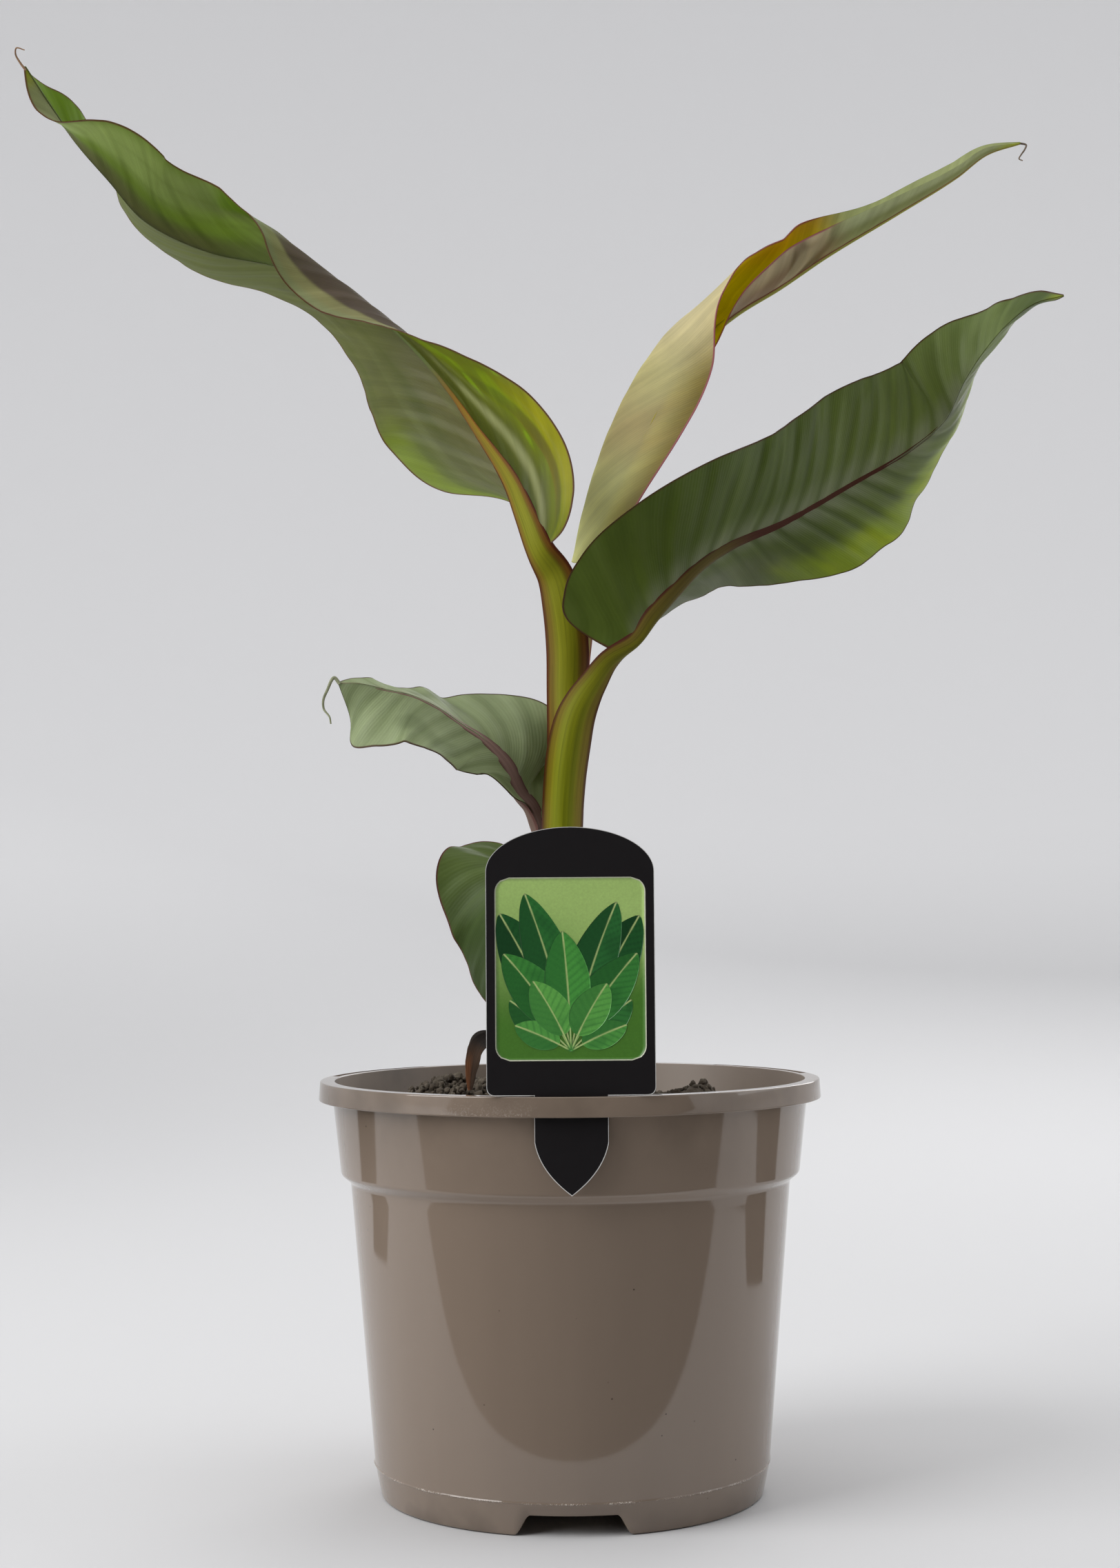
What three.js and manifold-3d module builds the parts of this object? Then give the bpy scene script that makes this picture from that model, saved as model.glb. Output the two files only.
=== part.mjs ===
// Potted young banana plant: five leaves on a short stem in a round plastic pot, with a plant label.
// Millimetres, +Z up, origin at the middle of the pot's underside, the label at the front (-Y).

import * as THREE from 'three';
import { mergeVertices } from 'three/addons/utils/BufferGeometryUtils.js';
import Module from 'manifold-3d';

const manifold = await Module();
manifold.setup();

// Pot: a 19 cm grower's pot with a hollow rim, a stepped band below it and a foot ring.
const POT = {
  height: 153.5, rimOuter: 94.5, skirtOuter: 95, skirtBottom: 146.4, rimInner: 89, wall: 1.5,
  collarOuter: 90.3, flangeThick: 1.5, skirtThick: 1.5,
  bandBottom: 118.8, bandOuter: 86.6, bodyTop: 115.8, bodyTopOuter: 83,
  footOuter: 71.8, footInner: 69.4, footLean: 2, floorUnder: 7.5, padRadius: 22, padSlope: 6, floorFillet: 1,
  segments: 40,
};
// Cut at each third of the turn: a notch in the foot ring, and a slot for a label in the rim.
const THIRDS = [-90, 30, 150];
const NOTCH = { bottomWidth: 41, topWidth: 30, height: 7, from: 55, depth: 30 };
const SLOT = { inner: 90.8, outer: 93, arcDegrees: 40, depth: 5, steps: 8 };
const DRAIN = { count: 6, radius: 4.5, circle: 48, length: 20, sides: 10 };

// Compost: crumbly fill with a mound round the plant.
const COMPOST = { edge: 135, edgeDrop: 3, mound: 14, moundSpread: 52, middle: [-8, 4],
  rings: [72, 58, 44, 31, 19, 8, 0], segments: 40 };

// Plant label: an arched card with a pointed tongue pushed through the front slot of the rim.
const LABEL = { width: 58, bottom: 153.8, top: 245.7, arch: 9, corner: 3, tongueWidth: 25, tip: 119.6,
  tongueTaper: [14, 4], thick: 0.9, y: -91.5, centre: 0.2, steps: 8 };

// Clearance kept between neighbouring pieces, and between the compost and the pot's upper wall.
const GAP = 0.3;
const WALL_GAP = 0.4;

// Stem and leaf stalks: points along the middle, and the radius at each point.
const STALKS = {
  stem: {
    path: [[-2, 0, 120], [-2, 0, 151], [-2.2, 0, 183], [-2.4, 0, 215], [-2.2, 0, 249], [-1.2, 0, 267]],
    radius: [12.5, 11.2, 9.8, 8.6, 7.6, 7.8], sides: 14, steps: 8,
  },
  leaf_c_stalk: {
    path: [[0.5, -3, 267.3], [1.4, -4, 281], [3.3, -5, 290.6], [6.2, -5, 297.5], [10.2, -5, 303.8],
      [16, -5, 311.5], [21.7, -4, 315.8], [27.5, -3, 319]],
    radius: [7.7, 7.8, 7.3, 6.2, 5.2, 4.5, 4, 3.4], sides: 10, steps: 9,
  },
  leaf_a_stalk: {
    path: [[-0.6, 3, 267.3], [0.1, 5, 286], [0.2, 7, 302], [0.4, 8, 318.5], [-1.2, 8, 334.7],
      [-3.6, 8, 348.7], [-8.5, 7.5, 358]],
    radius: [7.4, 7.8, 8, 8.2, 7.8, 7.4, 5.5], sides: 10, steps: 9,
  },
  leaf_b_stalk: {
    path: [[1, 12, 284], [3, 16.5, 304], [6, 19, 326], [9, 20, 345], [12, 21, 359]],
    radius: [4, 5, 5, 4.6, 4.2], sides: 8, steps: 6,
  },
  leaf_d_stalk: {
    path: [[-3.5, 4, 226], [-8.2, 6, 238.4], [-11.6, 7, 250.5]], radius: [3, 2.8, 2.4], sides: 6, steps: 4,
  },
  leaf_e_stalk: {
    path: [[-2, -4, 203], [-6.7, -9, 215.8], [-9, -13, 225]], radius: [3, 2.6, 2.2], sides: 6, steps: 4,
  },
  old_sheath: {
    path: [[-4, -2, 146], [-9.8, -5, 154.6], [-16, -12, 160.8], [-22.4, -20, 166], [-29, -27, 169.5],
      [-34, -32, 168], [-36, -34, 160], [-36.6, -34, 152.5]],
    radius: [3, 2.6, 2.2, 1.9, 1.8, 1.7, 1.5, 1.2], sides: 6, steps: 14,
  },
};

// Leaves. rib: points along the midrib. at: stations along it, as fractions of its length.
// For each half of the blade, at each station: width in mm, lift of the blade at the rib out of
// the plane that faces the front (degrees, positive to the front), curl from rib to margin
// (degrees), and sweep of the margin toward the leaf's tip (mm). fold gathers the curl into a
// crease: [share, from, to] as fractions of the half's width.
const LEAVES = {
  leaf_a: {
    rib: [[-10, 6, 356], [-15, 10, 370], [-21, 19, 386], [-35, 35, 410], [-47, 45, 429], [-60, 53, 446],
      [-78, 61, 464], [-97, 64, 476], [-119, 65, 485], [-147, 60, 490], [-172, 52, 501], [-185, 43, 515],
      [-196, 33, 527], [-205, 22, 540], [-212, 12, 551]],
    at: [0, 0.025, 0.06, 0.14, 0.24, 0.34, 0.43, 0.52, 0.62, 0.7, 0.78, 0.84, 0.88, 0.92, 0.96, 1],
    right: {
      width: [12, 18, 25, 33, 33, 31, 31, 31, 31, 28, 25, 22, 19, 14, 8, 1.5],
      lift: [30, 32, 34, 49, 69, 80, 80, 52, 2, -10, 2, 26, 50, 94, 124, 144],
      curl: [15, 4, -6, -1, 17, 47, 86, 134, 102, 50, 24, 20, 20, 16, 12, 0],
      sweep: [-3, -7, -6, 0, 4, 6, 6, 6, 8, 10, 10, 8, 6, 4, 2, 0],
      fold: [0.35, 0.3, 0.65],
    },
    left: {
      width: [1, 1.2, 1.5, 25, 34, 33, 31, 30, 28, 25, 20, 18, 17, 13, 7, 1.5],
      lift: [-31, -25, -18, -4, 3, -16, -41, -63, -72, -78, -92, -114, -126, -126, -106, -84],
      curl: [-10, -10, -10, -15, -19, -21, -20, -20, -19, -21, -14, -8, -4, 0, 0, 0],
      sweep: [0, 1, 2, 6, 6, 6, 6, 6, 8, 10, 10, 8, 6, 5, 3, 0],
    },
    thick: 3.3, ribRadius: [4.4, 1.8], rows: 24, columns: 5,
    tip: [[-213.7, 12, 552.4], [-215.7, 12, 556.2], [-215.2, 11, 558.1], [-211.7, 10, 557]],
  },
  leaf_c: {
    rib: [[27, -3, 319], [34, 0, 329], [43, 6, 340], [53, 13, 351], [65, 22, 360], [88, 38, 372],
      [117, 54, 390], [143, 63, 406], [158, 66, 419], [166, 64, 435], [174, 61, 447], [183, 57, 457],
      [193, 53, 464], [204, 48, 466]],
    at: [0, 0.02, 0.045, 0.08, 0.18, 0.3, 0.42, 0.54, 0.66, 0.78, 0.88, 0.95, 1],
    right: {
      width: [1, 3.5, 6.5, 10, 19, 26, 33, 34, 31, 24, 12, 5, 1.5],
      lift: [-94, -89, -82, -73, -58, -41, -21, -25, -58, -71, -76, -78, -80],
      curl: [-10, -10, -10, -10, -15, -21, -24, -25, -25, -20, -14, -11, 0],
      sweep: [0, 0.5, 1, 2, 4, 6, 8, 9, 10, 10, 8, 5, 0],
    },
    left: {
      width: [15, 23, 31, 36, 37, 36, 36, 37, 33, 25, 13, 6, 1.5],
      lift: [0, 3, 7, 12, 40, 37, 33, 21, 7, -14, -40, -45, -40],
      curl: [-10, -11, -13, -15, -19, -20, -20, -20, -20, -15, -11, -6, 0],
      sweep: [-8, -9, -10, -8, 1, 6, 8, 9, 10, 10, 8, 5, 0],
    },
    thick: 2.7, ribRadius: [3.8, 1.5], rows: 20, columns: 4,
  },
  leaf_b: {
    rib: [[11, 20, 356], [19, 25, 377], [27, 27, 395], [36, 27, 413], [45, 27, 429], [56, 26, 444],
      [68, 26, 454], [86, 27, 465], [105, 29, 478], [134, 33, 496], [159, 37, 512], [172, 39, 522],
      [186, 41, 527]],
    at: [0, 0.1, 0.2, 0.3, 0.4, 0.47, 0.54, 0.62, 0.72, 0.82, 0.91, 1],
    right: {
      width: [5, 7, 8, 8, 9, 12, 14, 11, 8, 6, 4, 1.5],
      lift: [0, 0, 0, 0, 10, 45, 78, 85, 85, 85, 85, 90],
      curl: [60, 60, 60, 60, 70, 90, 96, 95, 90, 90, 80, 30],
      sweep: [2, 4, 6, 6, 6, 6, 6, 6, 6, 5, 4, 0],
    },
    left: {
      width: [36, 46, 54, 56, 54, 41, 29, 21, 13, 10, 6, 1.5],
      lift: [-63, -58, -53, -54, -64, -73, -78, -73, -67, -55, -44, -18],
      curl: [204, 209, 214, 209, 176, 156, 139, 90, 54, 35, 21, 3],
      sweep: [0, 4, 8, 10, 12, 14, 12, 8, 6, 5, 4, 0],
      fold: [0.85, 0.28, 0.46],
    },
    thick: 2.7, ribRadius: [3.6, 1.6], rows: 20, columns: 7,
    tip: [[188.3, 41, 526.3], [187.5, 40, 524], [186.1, 40, 522], [185.2, 40, 520.3], [186.4, 39, 519.2]],
  },
  leaf_d: {
    rib: [[-11, 7, 249], [-14, 6, 257], [-18, 4, 262], [-23, 1, 273], [-31, -3, 282], [-40, -8, 288],
      [-49, -14, 294], [-58, -19, 298], [-68, -24, 300], [-78, -27, 302], [-85, -28, 302]],
    at: [0, 0.12, 0.26, 0.4, 0.55, 0.7, 0.83, 0.93, 1],
    right: {
      width: [3, 16, 32, 28, 22, 16, 11, 6, 1],
      lift: [-24, -24, -26, -58, -75, -80, -72, -70, -57],
      curl: [-10, -15, -14, -16, -10, -5, 1, 0, 0],
      sweep: [6, 6, 6, 6, 5, 4, 3, 2, 0],
    },
    left: {
      width: [1, 6, 16, 23, 26, 26, 24, 21, 1],
      lift: [79, 59, 39, 38, 46, 41, 25, -5, -14],
      curl: [10, 10, 14, 15, 15, 10, 0, 0, 0],
      sweep: [2, 4, 6, 6, 6, 5, 2, 0, 0],
    },
    thick: 1.4, ribRadius: [2.2, 0.9], rows: 12, columns: 3,
    tip: [[-86.6, -28, 304.1], [-89.1, -29, 299.4], [-90.5, -30, 295.4], [-90.3, -30, 292.3],
      [-88.1, -31, 289.2], [-87.6, -31, 286.6]],
  },
  leaf_e: {
    rib: [[-9, -12, 224], [-13, -24, 230], [-19, -38, 232], [-24, -50, 228], [-27, -58, 218], [-27, -62, 205],
      [-26, -64, 192], [-24, -64, 179], [-22, -62, 168]],
    at: [0, 0.12, 0.24, 0.36, 0.48, 0.6, 0.74, 0.88, 1],
    right: {
      width: [3, 14, 21, 25, 22, 22, 19, 12, 1],
      lift: [-78, -71, -56, -19, -38, -50, -63, -71, -77],
      curl: [-20, -20, -21, -19, -21, -20, -15, -10, 0],
      sweep: [2, 4, 4, 4, 5, 6, 6, 3, 0],
    },
    left: {
      width: [2, 4, 8, 13, 17, 18, 15, 9, 1],
      lift: [20, 20, 10, 0, -10, -10, -10, -5, 0],
      curl: [-20, -20, -20, -20, -20, -20, -20, -10, 0],
      sweep: [2, 4, 6, 6, 6, 6, 6, 3, 0],
    },
    thick: 1.4, ribRadius: [2, 0.9], rows: 12, columns: 3,
  },
};
// A blade thins by this share from rib to margin, and to half its thickness over its last tenth.
const MARGIN_THINNING = 0.3;
const END_THINNING = { from: 0.9, share: 0.5 };
const LEAST_HALF_WIDTH = 0.8;
const MARGIN_SWEEP_POWER = 1.5;
// Each column of a blade's section is worked out in this many steps.
const SECTION_STEPS = 4;
const RIB_SIDES = 6;
const TIP = { radius: 0.8, sides: 5, steps: 10 };

const COLOURS = {
  pot: { color: 0x857467, roughness: 0.35, metalness: 0 },
  compost: { color: 0x3a2a20, roughness: 0.95, metalness: 0 },
  label: { color: 0x1d1a1b, roughness: 0.4, metalness: 0 },
  stem: { color: 0x7d8a2a, roughness: 0.5, metalness: 0 },
  stalk: { color: 0x75782c, roughness: 0.5, metalness: 0 },
  dead: { color: 0x6a4426, roughness: 0.85, metalness: 0 },
  leaf_a: { color: 0x5f7a3a, roughness: 0.5, metalness: 0 },
  leaf_b: { color: 0xa9a75c, roughness: 0.5, metalness: 0 },
  leaf_c: { color: 0x47602c, roughness: 0.45, metalness: 0 },
  leaf_d: { color: 0x6f7a5c, roughness: 0.5, metalness: 0 },
  leaf_e: { color: 0x8a9a3c, roughness: 0.5, metalness: 0 },
};

const JOIN_DISTANCE = 1e-4;
const { degToRad: radians, lerp, smoothstep, mapLinear } = THREE.MathUtils;

// Cubic pieces through (at, values), each knot's slope the mean of its neighbouring chords.
function smooth(at, values, x) {
  const last = at.length - 1;
  const chord = (k) => (values[k + 1] - values[k]) / (at[k + 1] - at[k]);
  const slope = (k) => (k === 0 ? chord(0) : k === last ? chord(last - 1) : (chord(k - 1) + chord(k)) / 2);
  let k = 0;
  while (k < last - 1 && x > at[k + 1]) k += 1;
  const h = at[k + 1] - at[k];
  const t = (x - at[k]) / h;
  return (1 + 2 * t) * (1 - t) ** 2 * values[k] + t * (1 - t) ** 2 * h * slope(k)
    + t * t * (3 - 2 * t) * values[k + 1] + t * t * (t - 1) * h * slope(k + 1);
}

// Stations along a path, from 0 to 1: place, direction, and two directions across it, forward
// (toward the front) and aside.
function frames(path, steps) {
  const points = path.map((p) => new THREE.Vector3(...p));
  const at = [0];
  for (let k = 1; k < points.length; k += 1) at.push(at[k - 1] + points[k].distanceTo(points[k - 1]));
  const total = at[at.length - 1];
  const shares = at.map((s) => s / total);
  const [xs, ys, zs] = ['x', 'y', 'z'].map((c) => points.map((p) => p[c]));
  const place = (u) => new THREE.Vector3(smooth(shares, xs, u), smooth(shares, ys, u), smooth(shares, zs, u));
  const list = [];
  for (let i = 0; i <= steps; i += 1) {
    const origin = place(i / steps);
    const along = place(Math.min(i + 1, steps) / steps).sub(place(Math.max(i - 1, 0) / steps)).normalize();
    const forward = new THREE.Vector3(0, -1, 0);
    forward.addScaledVector(along, -forward.dot(along)).normalize();
    list.push({ origin, along, forward, aside: new THREE.Vector3().crossVectors(along, forward), shares });
  }
  return list;
}

// A geometry with only its positions, and its shared vertices joined.
function joined(geometry) {
  geometry.deleteAttribute('normal');
  geometry.deleteAttribute('uv');
  return mergeVertices(geometry, JOIN_DISTANCE);
}

// A closed solid from a geometry, without the flat triangles that joining leaves.
function solid(geometry) {
  const merged = joined(geometry);
  const index = merged.index.array;
  const kept = [];
  for (let i = 0; i < index.length; i += 3) {
    const [a, b, c] = [index[i], index[i + 1], index[i + 2]];
    if (a !== b && b !== c && c !== a) kept.push(a, b, c);
  }
  const vertProperties = new Float32Array(merged.attributes.position.array);
  const mesh = new manifold.Mesh({ numProp: 3, vertProperties, triVerts: new Uint32Array(kept) });
  return new manifold.Manifold(mesh);
}

// A geometry class's grid carried onto another surface: place moves each joined vertex.
function shaped(geometry, place) {
  const merged = joined(geometry);
  const position = merged.attributes.position;
  const point = new THREE.Vector3();
  for (let i = 0; i < position.count; i += 1) {
    point.fromBufferAttribute(position, i);
    place(point);
    position.setXYZ(i, point.x, point.y, point.z);
  }
  return solid(merged);
}

// -1 at the first station, 1 at the last and 0 between.
function endSign(i, last) {
  return (i === last ? 1 : 0) - (i === 0 ? 1 : 0);
}

// A tapered tube along a path; grow widens it all over and carries its ends on by as much.
function tube({ path, radius, sides, steps }, grow = 0) {
  const stations = frames(path, steps);
  const unit = new THREE.CylinderGeometry(1, 1, 1, sides, steps);
  return shaped(unit, (point) => {
    const i = Math.round((point.y + 0.5) * steps);
    const { origin, along, forward, aside, shares } = stations[i];
    const r = smooth(shares, radius, i / steps) + grow;
    const across = point.x * r;
    const side = -point.z * r;
    point.copy(origin).addScaledVector(forward, across).addScaledVector(aside, side);
    point.addScaledVector(along, grow * endSign(i, steps));
  });
}

// One half of a leaf blade, side 1 or -1 of its rib: a sheet whose section leaves the rib at the
// lift angle and turns through the curl angle on its way to the margin.
function halfBlade(leaf, half, side, grow) {
  const { rows, columns, at } = leaf;
  const stations = frames(leaf.rib, rows);
  const parts = columns * SECTION_STEPS;
  const [share, foldFrom, foldTo] = half.fold ?? [0, 0, 1];
  const sections = stations.map((station, i) => {
    const u = i / rows;
    const width = Math.max(smooth(at, half.width, u), LEAST_HALF_WIDTH) + grow;
    const lift = radians(smooth(at, half.lift, u));
    const curl = radians(smooth(at, half.curl, u));
    const turn = (v) => lift + curl * ((1 - share) * v + share * smoothstep(v, foldFrom, foldTo));
    const points = [{ out: 0, up: 0, angle: lift }];
    let out = 0;
    let up = 0;
    for (let p = 1; p <= parts; p += 1) {
      const middle = turn((p - 0.5) / parts);
      out += Math.cos(middle) * width / parts;
      up += Math.sin(middle) * width / parts;
      if (p % SECTION_STEPS === 0) points.push({ out, up, angle: turn(p / parts) });
    }
    const taper = lerp(1, END_THINNING.share, smoothstep(u, END_THINNING.from, 1));
    return { ...station, points, sweep: smooth(at, half.sweep, u), taper };
  });
  const unit = new THREE.BoxGeometry(1, 1, 1, rows, 1, columns);
  return shaped(unit, (point) => {
    const i = Math.round((point.x + 0.5) * rows);
    const j = Math.round((point.z + 0.5) * columns);
    const section = sections[i];
    const v = j / columns;
    const { out, up, angle } = section.points[j];
    const thick = leaf.thick * (1 - MARGIN_THINNING * v) * section.taper + 2 * grow;
    const offset = side * point.y * thick;
    const across = side * (out - offset * Math.sin(angle));
    const front = up + offset * Math.cos(angle);
    point.copy(section.origin).addScaledVector(section.aside, across).addScaledVector(section.forward, front);
    point.addScaledVector(section.along, section.sweep * v ** MARGIN_SWEEP_POWER + grow * endSign(i, rows));
  });
}

// A leaf's blade in one piece: both halves, the midrib and, where it has one, the thin dry tip.
function blade(leaf, grow = 0) {
  const last = leaf.rib.length - 1;
  const radius = leaf.rib.map((point, k) => lerp(...leaf.ribRadius, k / last));
  const rib = tube({ path: leaf.rib, radius, sides: RIB_SIDES, steps: leaf.rows }, grow);
  const whole = rib.add(halfBlade(leaf, leaf.right, 1, grow)).add(halfBlade(leaf, leaf.left, -1, grow));
  if (!leaf.tip) return whole;
  const path = [leaf.rib[last], ...leaf.tip];
  return whole.add(tube({ ...TIP, path, radius: path.map(() => TIP.radius) }, grow));
}

// A ring or disc turned about the vertical axis through the origin, from [radius, height] pairs.
function turned(profile, segments) {
  const points = profile.map(([r, z]) => new THREE.Vector2(r, z));
  return new THREE.LatheGeometry(points, segments).rotateX(Math.PI / 2);
}

// An outline drawn in x and y, raised to a height and moved, as a closed solid.
function extruded(shape, depth, curveSegments, move) {
  const geometry = new THREE.ExtrudeGeometry(shape, { depth, bevelEnabled: false, curveSegments });
  move(geometry);
  return solid(geometry);
}

function outline(corners) {
  return new THREE.Shape(corners.map(([x, y]) => new THREE.Vector2(x, y)));
}

function pot() {
  const p = POT;
  const floorTop = p.floorUnder + p.wall;
  const profile = [
    [0, 0], [p.padRadius, 0], [p.padRadius + p.padSlope, p.floorUnder],
    [p.footInner - p.footLean, p.floorUnder], [p.footInner, 0], [p.footOuter, 0],
    [p.bodyTopOuter, p.bodyTop], [p.bandOuter, p.bandBottom], [p.collarOuter, p.height - p.flangeThick],
    [p.skirtOuter - p.skirtThick, p.height - p.flangeThick], [p.skirtOuter - p.skirtThick, p.skirtBottom],
    [p.skirtOuter, p.skirtBottom], [p.rimOuter, p.height], [p.rimInner, p.height],
    [p.bandOuter - p.wall, p.bandBottom + p.wall], [p.bodyTopOuter - p.wall, p.bodyTop + p.wall],
    [p.footOuter - p.wall + p.floorFillet, floorTop], [p.padRadius + p.padSlope - p.floorFillet, floorTop],
    [p.padRadius - p.floorFillet, p.wall], [0, p.wall],
  ];
  let body = solid(turned(profile, p.segments));
  const notch = outline([
    [-NOTCH.bottomWidth / 2, -1], [NOTCH.bottomWidth / 2, -1], [NOTCH.topWidth / 2, NOTCH.height],
    [-NOTCH.topWidth / 2, NOTCH.height],
  ]);
  const slot = new THREE.Shape();
  const reach = radians(SLOT.arcDegrees / 2);
  slot.absarc(0, 0, SLOT.outer, -reach, reach, false);
  slot.absarc(0, 0, SLOT.inner, reach, -reach, true);
  for (const third of THIRDS) {
    const turn = radians(third);
    body = body.subtract(extruded(notch, NOTCH.depth, 1, (g) => g.rotateX(Math.PI / 2)
      .rotateZ(Math.PI / 2).translate(NOTCH.from, 0, 0).rotateZ(turn)));
    body = body.subtract(extruded(slot, 2 * SLOT.depth, SLOT.steps, (g) => g
      .translate(0, 0, p.height - SLOT.depth).rotateZ(turn)));
  }
  for (let k = 0; k < DRAIN.count; k += 1) {
    const turn = radians(360 * k / DRAIN.count);
    const hole = new THREE.CylinderGeometry(DRAIN.radius, DRAIN.radius, DRAIN.length, DRAIN.sides);
    hole.rotateX(Math.PI / 2).translate(DRAIN.circle, 0, p.floorUnder).rotateZ(turn);
    body = body.subtract(solid(hole));
  }
  return body;
}

// Height of the compost's surface at (x, y): a mound round the stem, with crumbs and hollows.
function compostTop(x, y) {
  const away = Math.hypot(x - COMPOST.middle[0], y - COMPOST.middle[1]) / COMPOST.moundSpread;
  const mound = COMPOST.mound * Math.exp(-(away ** 4));
  const bumps = 1.3 * Math.sin(0.21 * x + 1.2) * Math.cos(0.17 * y) + 0.9 * Math.sin(0.37 * x - 0.31 * y);
  return COMPOST.edge + mound + bumps;
}

// The fill follows the inside of the pot, a clearance away, up to its edge; its top is then shaped.
function compost() {
  const p = POT;
  const floorTop = p.floorUnder + p.wall + GAP;
  const bodyInner = p.bodyTopOuter - p.wall - WALL_GAP;
  const bandInner = p.bandOuter - p.wall - WALL_GAP;
  const edge = COMPOST.edge - COMPOST.edgeDrop;
  const edgeInner = mapLinear(edge, p.bandBottom + p.wall, p.height, p.bandOuter - p.wall, p.rimInner) - GAP;
  const profile = [
    [0, p.wall + GAP], [p.padRadius - p.floorFillet - GAP, p.wall + GAP],
    [p.padRadius + p.padSlope - p.floorFillet - GAP / 2, floorTop],
    [p.footOuter - p.wall + p.floorFillet - GAP, floorTop],
    [bodyInner, p.bodyTop + p.wall], [bandInner, p.bandBottom + p.wall], [edgeInner, edge],
    ...COMPOST.rings.map((r) => [r, COMPOST.edge]),
  ];
  return shaped(turned(profile, COMPOST.segments), (point) => {
    if (point.z > edge + COMPOST.edgeDrop / 2) point.z = compostTop(point.x, point.y);
  });
}

function label() {
  const l = LABEL;
  const half = l.width / 2;
  const tongue = l.tongueWidth / 2;
  const [taperTop, taperBow] = l.tongueTaper;
  const card = new THREE.Shape();
  card.moveTo(-tongue, l.bottom);
  card.lineTo(-tongue, l.tip + taperTop);
  card.quadraticCurveTo(-tongue, l.tip + taperBow, 0, l.tip);
  card.quadraticCurveTo(tongue, l.tip + taperBow, tongue, l.tip + taperTop);
  card.lineTo(tongue, l.bottom);
  card.lineTo(half - l.corner, l.bottom);
  card.quadraticCurveTo(half, l.bottom, half, l.bottom + l.corner);
  card.lineTo(half, l.top - l.arch);
  card.quadraticCurveTo(0, l.top + l.arch, -half, l.top - l.arch);
  card.lineTo(-half, l.bottom + l.corner);
  card.quadraticCurveTo(-half, l.bottom, -half + l.corner, l.bottom);
  return extruded(card, l.thick, l.steps, (g) => g.rotateX(Math.PI / 2)
    .translate(l.centre, l.y + l.thick / 2, 0));
}

const plant = new THREE.Group();
let taken = null;

// Adds the largest body of a piece cut back from all that is there already, and adds the piece's
// grown copy to what is taken.
function place(name, colours, piece, grown) {
  const cut = taken ? piece.subtract(taken) : piece;
  const [largest] = cut.decompose().sort((a, b) => b.volume() - a.volume());
  const { vertProperties, triVerts } = largest.getMesh();
  const geometry = new THREE.BufferGeometry();
  geometry.setAttribute('position', new THREE.BufferAttribute(vertProperties, 3));
  geometry.setIndex(new THREE.BufferAttribute(triVerts, 1));
  const mesh = new THREE.Mesh(geometry, new THREE.MeshStandardMaterial(colours));
  mesh.name = name;
  plant.add(mesh);
  if (grown) taken = taken ? taken.add(grown) : grown;
}

function addStalk(name, colours) {
  place(name, colours, tube(STALKS[name]), tube(STALKS[name], GAP));
}

function addBlade(name) {
  place(`${name}_blade`, COLOURS[name], blade(LEAVES[name]), blade(LEAVES[name], GAP));
}

// The order settles which of two neighbours is cut back from the other.
addBlade('leaf_a');
addBlade('leaf_c');
addBlade('leaf_b');
addStalk('stem', COLOURS.stem);
addStalk('leaf_c_stalk', COLOURS.stalk);
addStalk('leaf_a_stalk', COLOURS.stalk);
addStalk('leaf_b_stalk', COLOURS.stalk);
addBlade('leaf_d');
addStalk('leaf_d_stalk', COLOURS.stalk);
addBlade('leaf_e');
addStalk('leaf_e_stalk', COLOURS.stalk);
addStalk('old_sheath', COLOURS.dead);
place('pot', COLOURS.pot, pot());
place('label', COLOURS.label, label());
place('compost', COLOURS.compost, compost());

export default plant;
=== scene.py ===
"""Potted young banana plant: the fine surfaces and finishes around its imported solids.

Metres, +Z up, the label at the front (-Y). Shapes are worked out in millimetres as numpy
surfaces and turned to metres when a mesh is made.
"""
import math
from functools import partial
import bpy
import numpy as np
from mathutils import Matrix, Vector


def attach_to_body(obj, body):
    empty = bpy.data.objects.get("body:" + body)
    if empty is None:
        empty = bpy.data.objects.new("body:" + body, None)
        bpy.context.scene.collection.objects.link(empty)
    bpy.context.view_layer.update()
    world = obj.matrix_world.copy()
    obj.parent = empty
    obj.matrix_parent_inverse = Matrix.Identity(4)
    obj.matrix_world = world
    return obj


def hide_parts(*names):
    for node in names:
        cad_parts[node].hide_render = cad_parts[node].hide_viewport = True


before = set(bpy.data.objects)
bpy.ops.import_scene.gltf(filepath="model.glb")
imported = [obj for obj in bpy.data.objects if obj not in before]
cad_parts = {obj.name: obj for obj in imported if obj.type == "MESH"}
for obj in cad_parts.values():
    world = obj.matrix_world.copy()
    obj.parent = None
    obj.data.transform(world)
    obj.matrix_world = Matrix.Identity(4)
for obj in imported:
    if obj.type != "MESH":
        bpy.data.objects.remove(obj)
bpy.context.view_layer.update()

# Photograph: its height in pixels, and the camera that was fitted to the pot's ellipses
PHOTO_HIGH = 2274
FOCAL_PIXELS = 3431
CAMERA_MM = (-3.23, -905.0, 216.7)
CAMERA_PITCH, CAMERA_ROLL = 3.08, -0.41
SENSOR_MM = 36.0

SHEET_MM = 0.4          # thickness of leaf tissue
FULL_TURN = 2 * np.pi
RNG = np.random.default_rng(11)

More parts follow.
